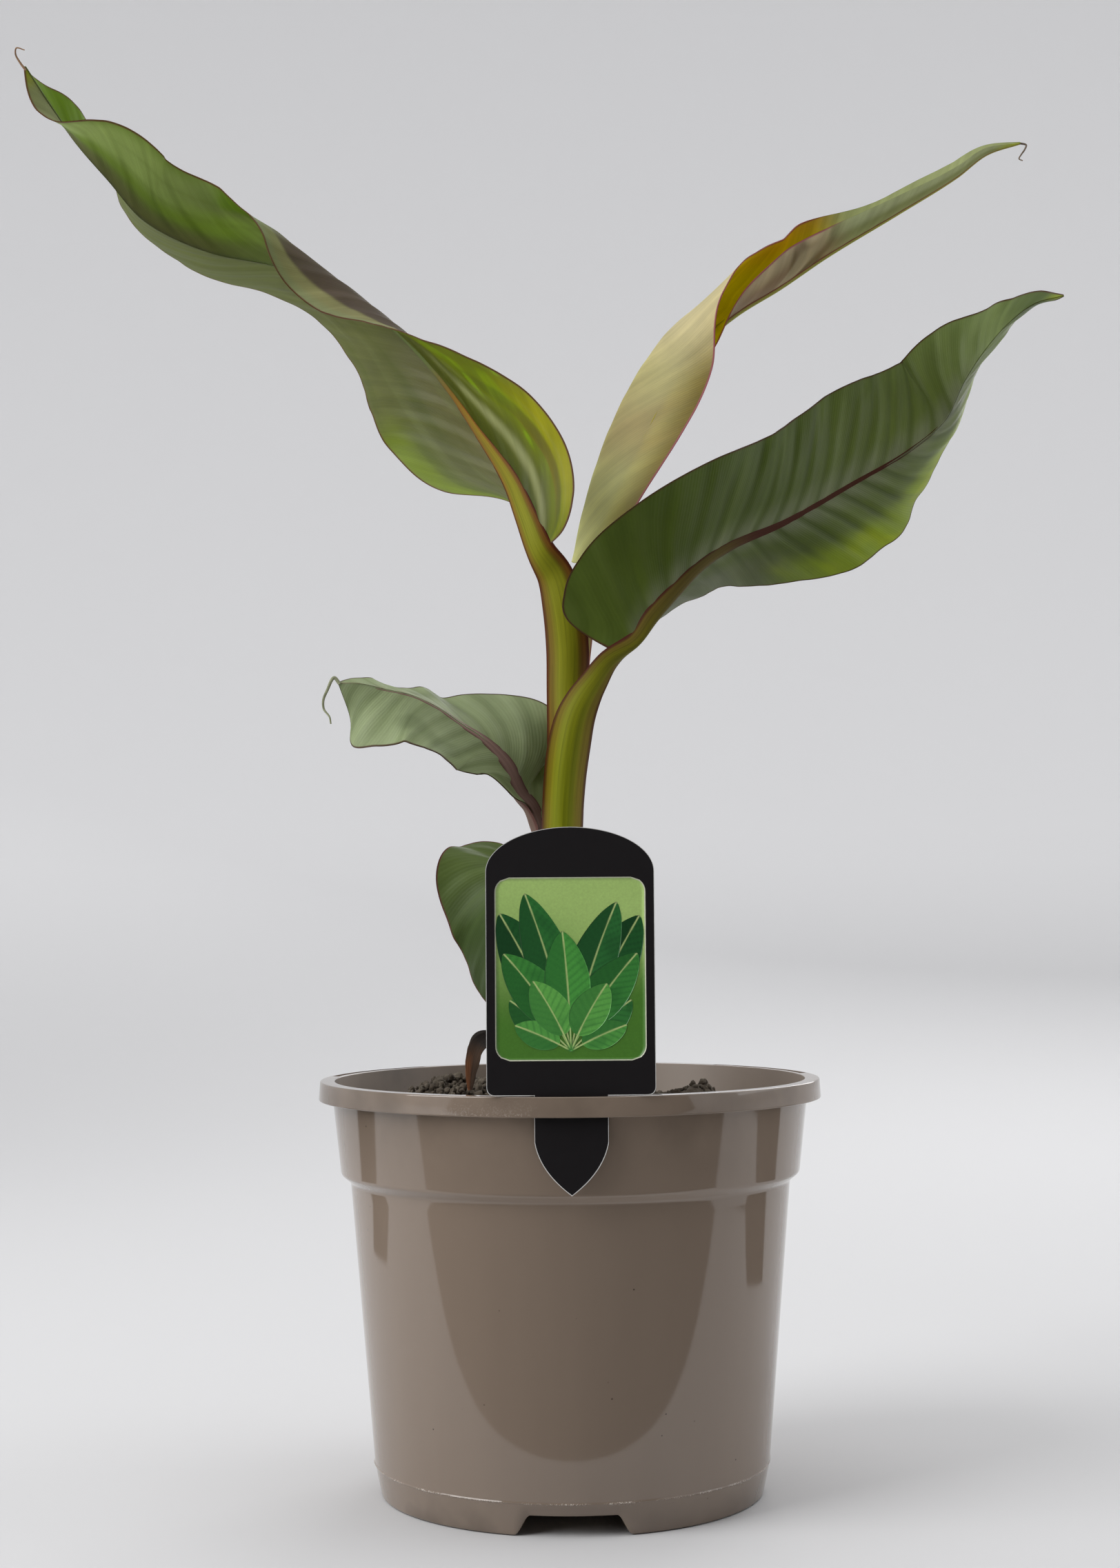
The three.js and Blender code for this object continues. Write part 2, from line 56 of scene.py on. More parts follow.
# Leaves: points along the midrib, and for each half, at stations along it, the width in mm, the
# lift of the blade out of the plane that faces the front, its curl from rib to margin, both in
# degrees, and the sweep of its margin toward the tip. fold gathers the curl into a crease.
LEAVES = {
    "leaf_a": dict(
        rib=[(-10, 6, 356), (-15, 10, 370), (-21, 19, 386), (-35, 35, 410), (-47, 45, 429), (-60, 53, 446),
             (-78, 61, 464), (-97, 64, 476), (-119, 65, 485), (-147, 60, 490), (-172, 52, 501),
             (-185, 43, 515), (-196, 33, 527), (-205, 22, 540), (-212, 12, 551)],
        at=[0, .025, .06, .14, .24, .34, .43, .52, .62, .7, .78, .84, .88, .92, .96, 1],
        right=dict(width=[1.5, 13, 24, 33, 33, 31, 31, 31, 31, 28, 25, 22, 19, 14, 8, .6],
                   lift=[18, 28, 34, 49, 69, 80, 80, 52, 2, -10, 2, 26, 50, 94, 124, 144],
                   curl=[5, 0, -6, -1, 17, 47, 86, 134, 102, 50, 24, 20, 20, 16, 12, 0],
                   sweep=[0, -5, -6, 0, 4, 6, 6, 6, 5, 3, 9, 11, 10, 6, 3, 0], fold=(.35, .3, .65)),
        left=dict(width=[1, 1.2, 1.5, 25, 34, 33, 31, 30, 28, 25, 20, 18, 17, 13, 7, .6],
                  lift=[-31, -25, -18, -4, 3, -16, -41, -63, -72, -78, -92, -114, -126, -126, -106, -84],
                  curl=[-10, -10, -10, -15, -19, -21, -20, -20, -19, -21, -14, -8, -4, 0, 0, 0],
                  sweep=[0, 1, 2, 6, 6, 6, 6, 6, 8, 10, 10, 8, 6, 5, 3, 0]),
        rib_half=[6, 5.4, 4.6, 3.3, 1.7, 1.1, .9, .8, .8, .7, .7, .6, .6, .5, .4, .3],
        pleat=(.2, 19, 64), ruffle=(.25, 41), rows=300, columns=64,
    ),
    "leaf_c": dict(
        rib=[(27, -3, 319), (34, 0, 329), (43, 6, 340), (53, 13, 351), (65, 22, 360), (88, 38, 372),
             (117, 54, 390), (143, 63, 406), (158, 66, 419), (166, 64, 435), (174, 61, 447),
             (183, 57, 457), (193, 53, 464), (204, 48, 466)],
        at=[0, .02, .045, .08, .18, .3, .42, .54, .66, .78, .88, .95, 1],
        right=dict(width=[1, 3.5, 6.5, 10, 19, 26, 33, 34, 31, 24, 12, 5, .6],
                   lift=[-94, -89, -82, -73, -58, -41, -21, -25, -58, -71, -76, -78, -80],
                   curl=[-10, -10, -10, -10, -15, -21, -24, -25, -25, -20, -14, -11, 0],
                   sweep=[0, .5, 1, 2, 4, 6, 8, 9, 10, 10, 8, 5, 0]),
        left=dict(width=[5, 26, 34, 37, 36, 36, 36, 37, 33, 25, 13, 6, .6],
                  lift=[0, 3, 7, 12, 40, 37, 33, 21, 7, -14, -40, -45, -40],
                  curl=[-10, -11, -13, -15, -19, -20, -20, -20, -20, -15, -11, -6, 0],
                  sweep=[-8, -13, -12, -8, 1, 6, 8, 9, 10, 10, 8, 5, 0]),
        rib_half=[4.7, 4.9, 4.7, 4.1, 2.8, 1.7, 1.1, .9, .8, .7, .6, .5, .4],
        pleat=(.26, 12.5, 40), ruffle=(.9, 29), rows=280, columns=64,
    ),
    "leaf_b": dict(
        rib=[(11, 20, 356), (19, 25, 377), (27, 27, 395), (36, 27, 413), (45, 27, 429), (56, 26, 444),
             (68, 26, 454), (86, 27, 465), (105, 29, 478), (134, 33, 496), (159, 37, 512),
             (172, 39, 522), (186, 41, 527)],
        at=[0, .1, .2, .3, .4, .47, .54, .62, .72, .82, .91, 1],
        right=dict(width=[1.5, 1.5, 1.5, 2, 12, 14, 15, 12, 9, 6, 4, .6],
                   lift=[-60, -60, -60, -20, 70, 80, 84, 86, 85, 85, 85, 90],
                   curl=[0, 0, 0, 0, 12, 62, 98, 98, 90, 90, 80, 30],
                   sweep=[0, 0, 0, 2, 6, 6, 6, 6, 6, 5, 4, 0]),
        left=dict(width=[32, 46, 54, 56, 54, 41, 29, 21, 13, 10, 6, .6],
                  lift=[-63, -58, -53, -54, -64, -73, -78, -73, -67, -55, -44, -18],
                  curl=[204, 209, 214, 209, 176, 156, 139, 90, 54, 35, 21, 3],
                  sweep=[-9, 2, 8, 10, 12, 14, 12, 8, 6, 5, 4, 0], fold=(.85, .28, .46)),
        rib_half=[3.4, 2.8, 2.3, 2, 1.7, 1.5, 1.3, 1.1, .9, .7, .5, .3],
        pleat=(.07, 13, 52), ruffle=(.2, 33), rows=280, columns=84,
    ),
    "leaf_d": dict(
        rib=[(-11, 7, 249), (-14, 6, 257), (-18, 4, 262), (-23, 1, 273), (-31, -3, 282), (-40, -8, 288),
             (-49, -14, 294), (-58, -19, 298), (-68, -24, 300), (-78, -27, 302), (-85, -28, 302)],
        at=[0, .12, .26, .4, .55, .7, .83, .93, 1],
        right=dict(width=[6, 19, 32, 28, 22, 16, 11, 6, .6],
                   lift=[-24, -24, -26, -58, -75, -80, -72, -70, -57],
                   curl=[-10, -15, -14, -16, -10, -5, 1, 0, 0], sweep=[6, 6, 6, 6, 5, 4, 3, 2, 0]),
        left=dict(width=[1, 6, 16, 23, 26, 26, 24, 21, .6], lift=[79, 59, 39, 38, 46, 41, 25, -5, -14],
                  curl=[10, 10, 14, 15, 15, 10, 0, 0, 0], sweep=[2, 4, 6, 6, 6, 5, 2, 0, 0]),
        rib_half=[3.2, 3.1, 2.8, 2.2, 1.6, 1.2, .9, .6, .3],
        pleat=(.13, 10, 34), ruffle=(.7, 26), rows=180, columns=48,
    ),
    "leaf_e": dict(
        rib=[(-9, -12, 224), (-13, -24, 230), (-19, -38, 232), (-24, -50, 228), (-27, -58, 218),
             (-27, -62, 205), (-26, -64, 192), (-24, -64, 179), (-22, -62, 168)],
        at=[0, .12, .24, .36, .48, .6, .74, .88, 1],
        right=dict(width=[3, 14, 21, 25, 22, 22, 19, 12, .6],
                   lift=[-78, -71, -56, -19, -38, -50, -63, -71, -77],
                   curl=[-20, -20, -21, -19, -21, -20, -15, -10, 0], sweep=[2, 4, 4, 4, 5, 6, 6, 3, 0]),
        left=dict(width=[2, 4, 8, 13, 17, 18, 15, 9, .6], lift=[20, 20, 10, 0, -10, -10, -10, -5, 0],
                  curl=[-20, -20, -20, -20, -20, -20, -20, -10, 0], sweep=[2, 4, 6, 6, 6, 6, 6, 3, 0]),
        rib_half=[1.9, 1.7, 1.5, 1.3, 1.1, .9, .7, .5, .3],
        pleat=(.12, 9, 30), ruffle=(.4, 22), rows=160, columns=44,
    ),
}


# Colour

def linear(code):
    """An sRGB hex colour as three linear numbers."""
    part = np.array([int(code[k:k + 2], 16) for k in (1, 3, 5)]) / 255
    return np.where(part <= .04045, part / 12.92, ((part + .055) / 1.055) ** 2.4)


def coats(base, *layers):
    """A field of colours, or one hex colour, with layers over it: each a hex colour and a mask
    that is 1 where it covers."""
    field = linear(base) if isinstance(base, str) else base
    for code, mask in layers:
        field = field + (linear(code) - field) * np.clip(mask, 0, 1)[..., None]
    return field


def step(x, low, high):
    """Rises smoothly from 0 at low to 1 at high, as 3t^2 - 2t^3."""
    t = np.clip((x - low) / (high - low), 0, 1)
    return t * t * (3 - 2 * t)


def band(x, low, high, soft):
    """About 1 between low and high and 0 outside, with soft edges."""
    return step(x, low - soft, low + soft) * (1 - step(x, high - soft, high + soft))


def waves(x, y, seed):
    """A smooth uneven field between about -1 and 1: a sum of seven sines in random directions."""
    draw = np.random.default_rng(seed)
    total = 0
    for k in range(7):
        turn, phase = draw.uniform(0, FULL_TURN, 2)
        rate = 1.6 ** (k / 2)
        total = total + np.sin(rate * (x * np.cos(turn) + y * np.sin(turn)) + phase) / 1.25 ** k
    return total / 2.6


# Curves and surfaces

def smooth(at, values, x):
    """Cubic pieces through (at, values), each knot's slope the mean of its two chords."""
    at, values = np.asarray(at, float), np.asarray(values, float)
    x = np.clip(x, at[0], at[-1])
    gaps = np.diff(at)
    chords = np.diff(values, axis=0) / (gaps if values.ndim == 1 else gaps[:, None])
    slopes = np.concatenate([chords[:1], (chords[1:] + chords[:-1]) / 2, chords[-1:]])
    k = np.clip(np.searchsorted(at, x, side="right") - 1, 0, len(at) - 2)
    h, t = gaps[k], (x - at[k]) / gaps[k]
    if values.ndim > 1:
        h, t = h[..., None], t[..., None]
    return ((1 + 2 * t) * (1 - t) ** 2 * values[k] + t * (1 - t) ** 2 * h * slopes[k]
            + t * t * (3 - 2 * t) * values[k + 1] + t * t * (t - 1) * h * slopes[k + 1])


def turns(count):
    """So many angles, evenly round a full turn."""
    return np.linspace(0, FULL_TURN, count, endpoint=False)


def turned(r, turn, z):
    """Points at radius r and height z, turned about the Z axis."""
    return np.stack([r * np.cos(turn), r * np.sin(turn), z], -1)


def walked(path):
    """How far along a path each of its points lies."""
    steps = np.linalg.norm(np.diff(np.asarray(path, float), axis=0), axis=1)
    return np.concatenate([[0], np.cumsum(steps)])


def shares_of(path):
    """Each path point's share of the path's length, from 0 to 1."""
    return walked(path) / walked(path)[-1]


def unit(vectors):
    """Vectors scaled to a length of 1."""
    return vectors / np.linalg.norm(vectors, axis=-1, keepdims=True)


def frames(path, count):
    """Stations along a smooth path: share, place, the two directions across it, forward (the front
    direction made square to the path) and aside, and the direction along it."""
    u = np.linspace(0, 1, count)
    place = smooth(shares_of(path), path, u)
    along = unit(np.gradient(place, axis=0))
    front = np.array([0, -1.0, 0])
    forward = unit(front - (along @ front)[:, None] * along)
    return u, place, forward, np.cross(along, forward), along


def sections(place, aside, x, forward, y):
    """The points x aside and y forward of each station, x and y being grids of station by point."""
    return place[:, None] + x[..., None] * aside[:, None] + y[..., None] * forward[:, None]


def facing(surface, side):
    """Unit normals of a grid of points, on the side that the leaf's upper skin faces."""
    return -side * unit(np.cross(np.gradient(surface, axis=0), np.gradient(surface, axis=1)))


def half_blade(leaf, side):
    """Half of a leaf blade. At each station the section leaves the rib at the lift angle and turns
    through the curl angle, theta(v) = lift + curl S(v), so its points are the running sums of
    width cos theta and width sin theta. Pleats and a ruffled margin are added along the normal.
    Returns the mid-surface, its normals on the leaf's upper side, and fields over it."""
    half = leaf["right" if side > 0 else "left"]
    u, place, forward, aside, along = frames(leaf["rib"], leaf["rows"])
    width, lift, curl, sweep = (smooth(leaf["at"], half[key], u)[:, None]
                                for key in ("width", "lift", "curl", "sweep"))
    width = np.maximum(width, .3)
    v = np.linspace(0, 1, leaf["columns"])[None]
    share, fold_from, fold_to = half.get("fold", (0, 0, 1))
    theta = np.radians(lift) + np.radians(curl) * ((1 - share) * v + share * step(v, fold_from, fold_to))
    steps = np.stack([np.cos(theta), np.sin(theta)]) * width / (v.size - 1)
    x, y = np.concatenate([0 * steps[..., :1], np.cumsum((steps[..., 1:] + steps[..., :-1]) / 2, -1)], -1)
    surface = sections(place, aside, side * x, forward, y) + (sweep * v ** 1.5)[..., None] * along[:, None]
    # Veins: a point's vein starts on the rib further back, by its distance times tan(lean)
    deep, pitch, lean = leaf["pleat"]
    vein = u[:, None] * walked(place)[-1] - v * width * math.tan(math.radians(lean)) * (1 - .25 * v)
    high, span = leaf["ruffle"]
    uneven = waves(vein / 23, v * 1.2, 5 + side)
    wave = FULL_TURN * vein
    ridges = np.sin(wave / pitch + 1.3 * uneven) + .35 * np.sin(2 * wave / pitch + uneven)
    swell = deep * ridges * step(v, 0, .2) * (1 - .55 * step(v, .75, 1)) * step(width, 2, 14)
    margin = high * np.sin(wave / span + side + 1.7 * uneven) * step(v, .45, 1) * step(width, 5, 18)
    surface = surface + (swell + margin)[..., None] * facing(surface, side)
    u, v, width = np.broadcast_arrays(u[:, None], v, width)
    return dict(surface=surface, normal=facing(surface, side), u=u, v=v, width=width, vein=vein,
                ridge=ridges)


# Meshes

def closed_sheet(rows, columns):
    """Quads of a sheet with two sides, one grid of points after the other: front, back and rim."""
    i, j = np.meshgrid(np.arange(rows - 1), np.arange(columns - 1), indexing="ij")
    a, count, last = (i * columns + j).ravel(), rows * columns, (rows - 1) * columns
    front = np.stack([a + 1, a + columns + 1, a + columns, a], 1)
    top, down = np.arange(columns - 1), np.arange(rows - 1) * columns
    near = np.concatenate([top, down + columns - 1, last + top[::-1] + 1, down[::-1] + columns])
    far = np.concatenate([top + 1, down + 2 * columns - 1, last + top[::-1], down[::-1]])
    return [front, front[:, ::-1] + count, np.stack([near, far, far + count, near + count], 1)]


def ring_faces(rows, around):
    """Quads of closed rings one after another."""
    i, j = np.meshgrid(np.arange(rows - 1), np.arange(around), indexing="ij")
    a, b = i * around + j, i * around + (j + 1) % around
    return np.stack([a, b, b + around, a + around], -1).reshape(-1, 4)


def lathe_faces(columns, rows):
    """Quads of an outline of so many rows, repeated in columns all round the Z axis."""
    i, j = np.meshgrid(np.arange(columns), np.arange(rows - 1), indexing="ij")
    near, far = i * rows + j, (i + 1) % columns * rows + j
    return np.stack([near, far, far + 1, near + 1], -1)


def outward(points, *groups):
    """Groups of faces, all turned over if the volume inside the first group's quads is negative."""
    a, b, c, d = (points[groups[0][:, k]] for k in range(4))
    volume = (np.cross(b - a, c - a) * (a + c + b) + np.cross(c - a, d - a) * (a + c + d)).sum()
    return [group[:, ::-1] for group in groups] if volume < 0 else list(groups)


def make_piece(name, points, groups, materials, kinds=None, fields=None, uv=None, sharp=None):
    """A mesh object from points in mm and groups of faces. kinds are the faces' materials, fields
    become point attributes, uv a UV map, and edges that turn more than sharp degrees stay sharp."""
    mesh = bpy.data.meshes.new(name)
    corners = np.concatenate([group.ravel() for group in groups])
    sizes = np.concatenate([np.full(len(group), group.shape[1]) for group in groups])
    mesh.vertices.add(len(points))
    mesh.vertices.foreach_set("co", (points * .001).ravel())
    mesh.loops.add(len(corners))
    mesh.loops.foreach_set("vertex_index", corners)
    mesh.polygons.add(len(sizes))
    mesh.polygons.foreach_set("loop_start", np.cumsum(sizes) - sizes)
    mesh.polygons.foreach_set("loop_total", sizes)
    mesh.polygons.foreach_set("use_smooth", np.ones(len(sizes), bool))
    for material in materials:
        mesh.materials.append(material)
    if kinds is not None:
        mesh.polygons.foreach_set("material_index", kinds)
    mesh.update(calc_edges=True)
    mesh.validate()
    for label, values in (fields or {}).items():
        if values.ndim == 2:
            rgba = np.concatenate([values, np.ones((len(values), 1))], 1)
            mesh.attributes.new(label, "FLOAT_COLOR", "POINT").data.foreach_set("color", rgba.ravel())
        else:
            mesh.attributes.new(label, "FLOAT", "POINT").data.foreach_set("value", values.astype(float))
    if uv is not None:
        mesh.uv_layers.new(name="surface").data.foreach_set("uv", uv[corners].ravel())
    if sharp is not None:
        mesh.set_sharp_from_angle(angle=math.radians(sharp))
    piece = bpy.data.objects.new(name, mesh)
    bpy.context.scene.collection.objects.link(piece)
    return piece


def lathe_piece(name, points, groups, *looks):
    """A turned piece whose outline starts and ends on the axis, its points there joined into one."""
    piece = make_piece(name, points.reshape(-1, 3), groups, *looks)
    piece.modifiers.new("join_axis", "WELD").merge_threshold = 1e-6
    return piece


def tube(name, rings, tint, uv, material, sharp=None):
    """A closed tube through a grid of rings, tint and uv being grids like it. Each end is a fan
    round a point that takes the mean of its ring."""
    count, around = rings.shape[:2]
    points, colour, across = (np.concatenate([grid.reshape(count * around, -1), grid[[0, -1]].mean(1)])
                              for grid in (rings, tint, uv))
    k = np.arange(around)
    following, last, middle = (k + 1) % around, (count - 1) * around, np.full(around, count * around)
    faces = outward(points, ring_faces(count, around), np.stack([following, middle, k], 1),
                    np.stack([last + k, middle + 1, last + following], 1))
    return make_piece(name, points, faces, [material], None, dict(tint=colour), across, sharp)


# Materials

def add_node(tree, kind, inputs=(), out=None, **settings):
    """Adds one shader node with its settings. Its inputs are given by name, or as a list in the
    node's own order; a socket is linked, and any other value is set. Returns the output of the
    name given, or else the first in use."""
    made = tree.nodes.new("ShaderNode" + kind)
    for key, value in settings.items():
        setattr(made, key, value)
    for key, value in inputs.items() if isinstance(inputs, dict) else enumerate(inputs):
        if isinstance(value, bpy.types.NodeSocket):
            tree.links.new(value, made.inputs[key])
        else:
            made.inputs[key].default_value = value
    return made.outputs[out] if out else next((socket for socket in made.outputs if socket.enabled), None)


def make_material(name, surface, *looks):
    """A material whose shader is what surface(add, *looks) returns, add being its node adder."""
    material = bpy.data.materials.new(name)
    material.use_nodes = True
    material.node_tree.nodes.clear()
    add = partial(add_node, material.node_tree)
    add("OutputMaterial", [surface(add, *looks)])
    return material


def opaque(code):
    """A hex colour as four linear numbers."""
    return (*linear(code), 1)


def leaf_tissue(add, margin, rough, glow, glow_tint, vein_mm):
    """Fresh banana leaf: satin waxed skin over fine parallel veins, thin enough to glow when lit
    from behind, with a darker cord along its margin."""
    tint = add("Attribute", attribute_name="tint")
    edge = add("Attribute", out="Fac", attribute_name="edge")
    uv = add("UVMap", uv_map="surface")
    place = add("TexCoord", out="Object")
    # Fine veins every 1.1 mm, uneven streaks about 6 mm wide and 80 mm long, mottling 18 mm across
    line = add("Mapping", {"Vector": uv, "Scale": (1 / 1.1, .02, 1)})
    fine = add("TexWave", {"Vector": line, "Scale": .32, "Distortion": 2.2, "Detail": 2}, "Fac")
    wide_line = add("Mapping", {"Vector": uv, "Scale": (.16, .012, 1)})
    broad = add("TexNoise", {"Vector": wide_line, "Scale": 1, "Detail": 7, "Roughness": .62})
    mottle = add("TexNoise", {"Vector": place, "Scale": 55, "Detail": 5, "Roughness": .55})
    streak = add("MapRange", [broad, .3, .7, .8, 1.17])
    cloud = add("MapRange", [mottle, .25, .75, .9, 1.1])
    thread = add("MapRange", [fine, 0, 1, .975, 1.02])
    shade = add("Math", [streak, cloud], operation="MULTIPLY")
    shade = add("Math", [shade, thread], operation="MULTIPLY")
    body = add("VectorMath", {0: tint, "Scale": shade}, operation="SCALE")
    # The cord is .35 to .8 mm wide
    at_margin = add("MapRange", [edge, .35, .8, 1, 0])
    skin = add("Mix", {"Factor": at_margin, "A": body, "B": opaque(margin)}, data_type="RGBA")
    ridge = add("Math", [fine, .25, broad], operation="MULTIPLY_ADD")
    bump = add("Bump", {"Height": ridge, "Strength": .35, "Distance": vein_mm * .001})
    gloss = add("MapRange", [mottle, 0, 1, rough - .06, rough + .08])
    waxed = add("BsdfPrincipled", {"Base Color": skin, "Roughness": gloss, "IOR": 1.45, "Normal": bump,
                                   "Specular IOR Level": .34})
    through = add("Mix", {"Factor": .55, "A": skin, "B": opaque(glow_tint)}, data_type="RGBA")
    lit = add("BsdfTranslucent", {"Color": through, "Normal": bump})
    return add("MixShader", [glow, waxed, lit])


def fleshy_stalk(add, rough):
    """Fresh leaf sheath and stalk: juicy fibres under a waxy skin, streaked lengthways."""
    tint = add("Attribute", attribute_name="tint")
    uv = add("UVMap", uv_map="surface")
    # Streaks about 2 mm wide and 80 mm long, fibres .4 mm wide and 50 mm long
    lengthways = add("Mapping", {"Vector": uv, "Scale": (.012, .55, 1)})
    streak = add("TexNoise", {"Vector": lengthways, "Scale": 1, "Detail": 5, "Roughness": .62})
    fibre_line = add("Mapping", {"Vector": uv, "Scale": (.02, 2.4, 1)})
    fibre = add("TexNoise", {"Vector": fibre_line, "Scale": 1, "Detail": 2})
    shade = add("MapRange", [streak, .28, .72, .74, 1.25])
    thread = add("MapRange", [fibre, .3, .7, .88, 1.1])
    shade = add("Math", [shade, thread], operation="MULTIPLY")
    body = add("VectorMath", {0: tint, "Scale": shade}, operation="SCALE")
    bump = add("Bump", {"Height": fibre, "Strength": .25, "Distance": .0003})
    return add("BsdfPrincipled", {"Base Color": body, "Roughness": rough, "IOR": 1.45, "Normal": bump,
                                  "Specular IOR Level": .15})


def papery_sheath(add):
    """Dry sheath: brown and papery, torn lengthways into fibres .6 mm wide, quite matt."""
    tint = add("Attribute", attribute_name="tint")
    uv = add("UVMap", uv_map="surface")
    line = add("Mapping", {"Vector": uv, "Scale": (.05, 1.6, 1)})
    fibre = add("TexNoise", {"Vector": line, "Scale": 1, "Detail": 4, "Roughness": .7})
    shade = add("MapRange", [fibre, .3, .7, .55, 1.4])
    body = add("VectorMath", {0: tint, "Scale": shade}, operation="SCALE")
    bump = add("Bump", {"Height": fibre, "Strength": .7, "Distance": .0005})
    return add("BsdfPrincipled", {"Base Color": body, "Roughness": .8, "Normal": bump})


def moulded_polypropylene(add):
    """Injection-moulded polypropylene: an even taupe, softly glossy, with faint flow marks, dark
    specks, pale scuffs where pots are stacked, darker toward the foot, painted shade on the rim
    and a duller inside."""
    place = add("TexCoord", out="Object")
    worn, grime, inside = (add("Attribute", out="Fac", attribute_name=name)
                           for name in ("worn", "grime", "inside"))
    # Flow marks 30 mm wide and 250 mm tall, clouds 50 mm across, specks .7 mm, scuffs' grain .7 mm
    tall = add("Mapping", {"Vector": place, "Scale": (34, 34, 4)})
    flow = add("TexNoise", {"Vector": tall, "Scale": 1, "Detail": 3})
    cloud = add("TexNoise", {"Vector": place, "Scale": 20, "Detail": 4})
    speck = add("TexVoronoi", {"Vector": place, "Scale": 150})
    grain = add("TexNoise", {"Vector": place, "Scale": 1400, "Detail": 3, "Roughness": .8})
    dot = add("MapRange", [speck, .035, .055, .75, 0])
    sparse = add("MapRange", [cloud, .52, .6])
    scratch = add("MapRange", [grain, .52, .62])
    patch = add("MapRange", [cloud, .42, .6])
    dots, scuff, dark_foot_and_rim = (add("Math", pair, operation="MULTIPLY")
                         for pair in ([dot, sparse], [scratch, worn], [patch, grime]))
    base = add("Mix", {"Factor": flow, "A": opaque("#7f7063"), "B": opaque("#897a6c")}, data_type="RGBA")
    # 4c4238 darkens the foot and is painted shade on the rim
    for cover, code in ((dots, "#2c2622"), (scuff, "#c9c0b6"), (dark_foot_and_rim, "#4c4238")):
        base = add("Mix", {"Factor": cover, "A": base, "B": opaque(code)}, data_type="RGBA")
    rough = add("MapRange", [cloud, 0, 1, .05, .09])
    rough = add("Math", [rough, scuff], operation="ADD")
    rough = add("Math", [inside, .45, rough], operation="MULTIPLY_ADD")
    bump = add("Bump", {"Height": flow, "Strength": .12, "Distance": .0006})
    return add("BsdfPrincipled", {"Base Color": base, "Roughness": rough, "IOR": 1.49, "Normal": bump,
                                  "Specular IOR Level": .72})


def crumbly_compost(add):
    """Peat-free compost: dark brown fibres and 2 mm crumbs in 11 mm clods, dry and paler on top."""
    place = add("TexCoord", out="Object")
    pale = add("Attribute", out="Fac", attribute_name="pale")
    crumb = add("TexNoise", {"Vector": place, "Scale": 420, "Detail": 6, "Roughness": .7})
    clod = add("TexNoise", {"Vector": place, "Scale": 90, "Detail": 4})
    tone = add("Mix", {"Factor": clod, "A": opaque("#29211a"), "B": opaque("#544738")}, data_type="RGBA")
    dry = add("Math", [crumb, pale], operation="MULTIPLY")
    tone = add("Mix", {"Factor": dry, "A": tone, "B": opaque("#8b8172")}, data_type="RGBA")
    bump = add("Bump", {"Height": crumb, "Strength": .9, "Distance": .0015})
    return add("BsdfPrincipled", {"Base Color": tone, "Roughness": .95, "Normal": bump})


def printed_card(add, code, rough):
    """Offset-printed plastic card: flat ink under a thin varnish, so an even low gloss, over a
    1.1 mm grain drawn coarser than the real one so that it shows."""
    place = add("TexCoord", out="Object")
    grain = add("TexNoise", {"Vector": place, "Scale": 900, "Detail": 3})
    shade = add("MapRange", [grain, 0, 1, .9, 1.1])
    ink = add("VectorMath", {0: tuple(linear(code)), "Scale": shade}, operation="SCALE")
    bump = add("Bump", {"Height": grain, "Strength": .05, "Distance": .0002})
    return add("BsdfPrincipled", {"Base Color": ink, "Roughness": rough, "Normal": bump})


def printed_ink(add):
    """The card's printed picture: ink in fine dots, drawn .7 mm wide, under the same varnish."""
    tint = add("Attribute", attribute_name="tint")
    place = add("TexCoord", out="Object")
    dots = add("TexNoise", {"Vector": place, "Scale": 1400, "Detail": 2})
    shade = add("MapRange", [dots, 0, 1, .85, 1.15])
    ink = add("VectorMath", {0: tint, "Scale": shade}, operation="SCALE")
    return add("BsdfPrincipled", {"Base Color": ink, "Roughness": .34})


# Leaf skins: the margin's colour, roughness, share of light let through, its tint, vein relief in mm
SKINS = {name: make_material(name, leaf_tissue, *looks) for name, looks in {
    "leaf_a_upper_satin": ("#6a3a2f", .42, .42, "#b9c400", .25),
    "leaf_a_under_matt": ("#6a3a2f", .55, .42, "#b9c400", .3),
    "leaf_b_upper_satin": ("#a85a5e", .45, .4, "#c9b400", .2),
    "leaf_b_under_matt": ("#a85a6e", .5, .35, "#d8d27a", .25),
    "leaf_c_upper_satin": ("#522a20", .38, .3, "#a8c020", .35),
    "leaf_c_under_matt": ("#522a20", .55, .3, "#a8c020", .3),
    "leaf_d_upper_satin": ("#5a4436", .45, .3, "#a0b430", .3),
    "leaf_d_under_matt": ("#5a4436", .55, .3, "#a0b430", .35),
    "leaf_e_upper_satin": ("#70343a", .45, .3, "#a0b430", .25),
    "leaf_e_under_matt": ("#70343a", .55, .3, "#a0b430", .25),
}.items()}
STALK = make_material("leaf_stalk_fleshy", fleshy_stalk, .56)
SHEATH = make_material("stem_sheath_fleshy", fleshy_stalk, .45)
WITHERED = make_material("withered_sheath_papery", papery_sheath)
POT = make_material("moulded_polypropylene_taupe", moulded_polypropylene)
COMPOST = make_material("compost_crumbly", crumbly_compost)
CARD_INK = make_material("label_card_dark_ink", printed_card, "#1d1a1c", .38)
CARD_EDGE = make_material("label_card_cut_edge", printed_card, "#c9c9c6", .5)
CARD_PICTURE = make_material("label_picture_ink", printed_ink)


# Leaf colours: for each leaf, its upper and under colours over a half blade. v goes from rib to
# margin, u to the tip, and the ridges are the pleats between side veins.

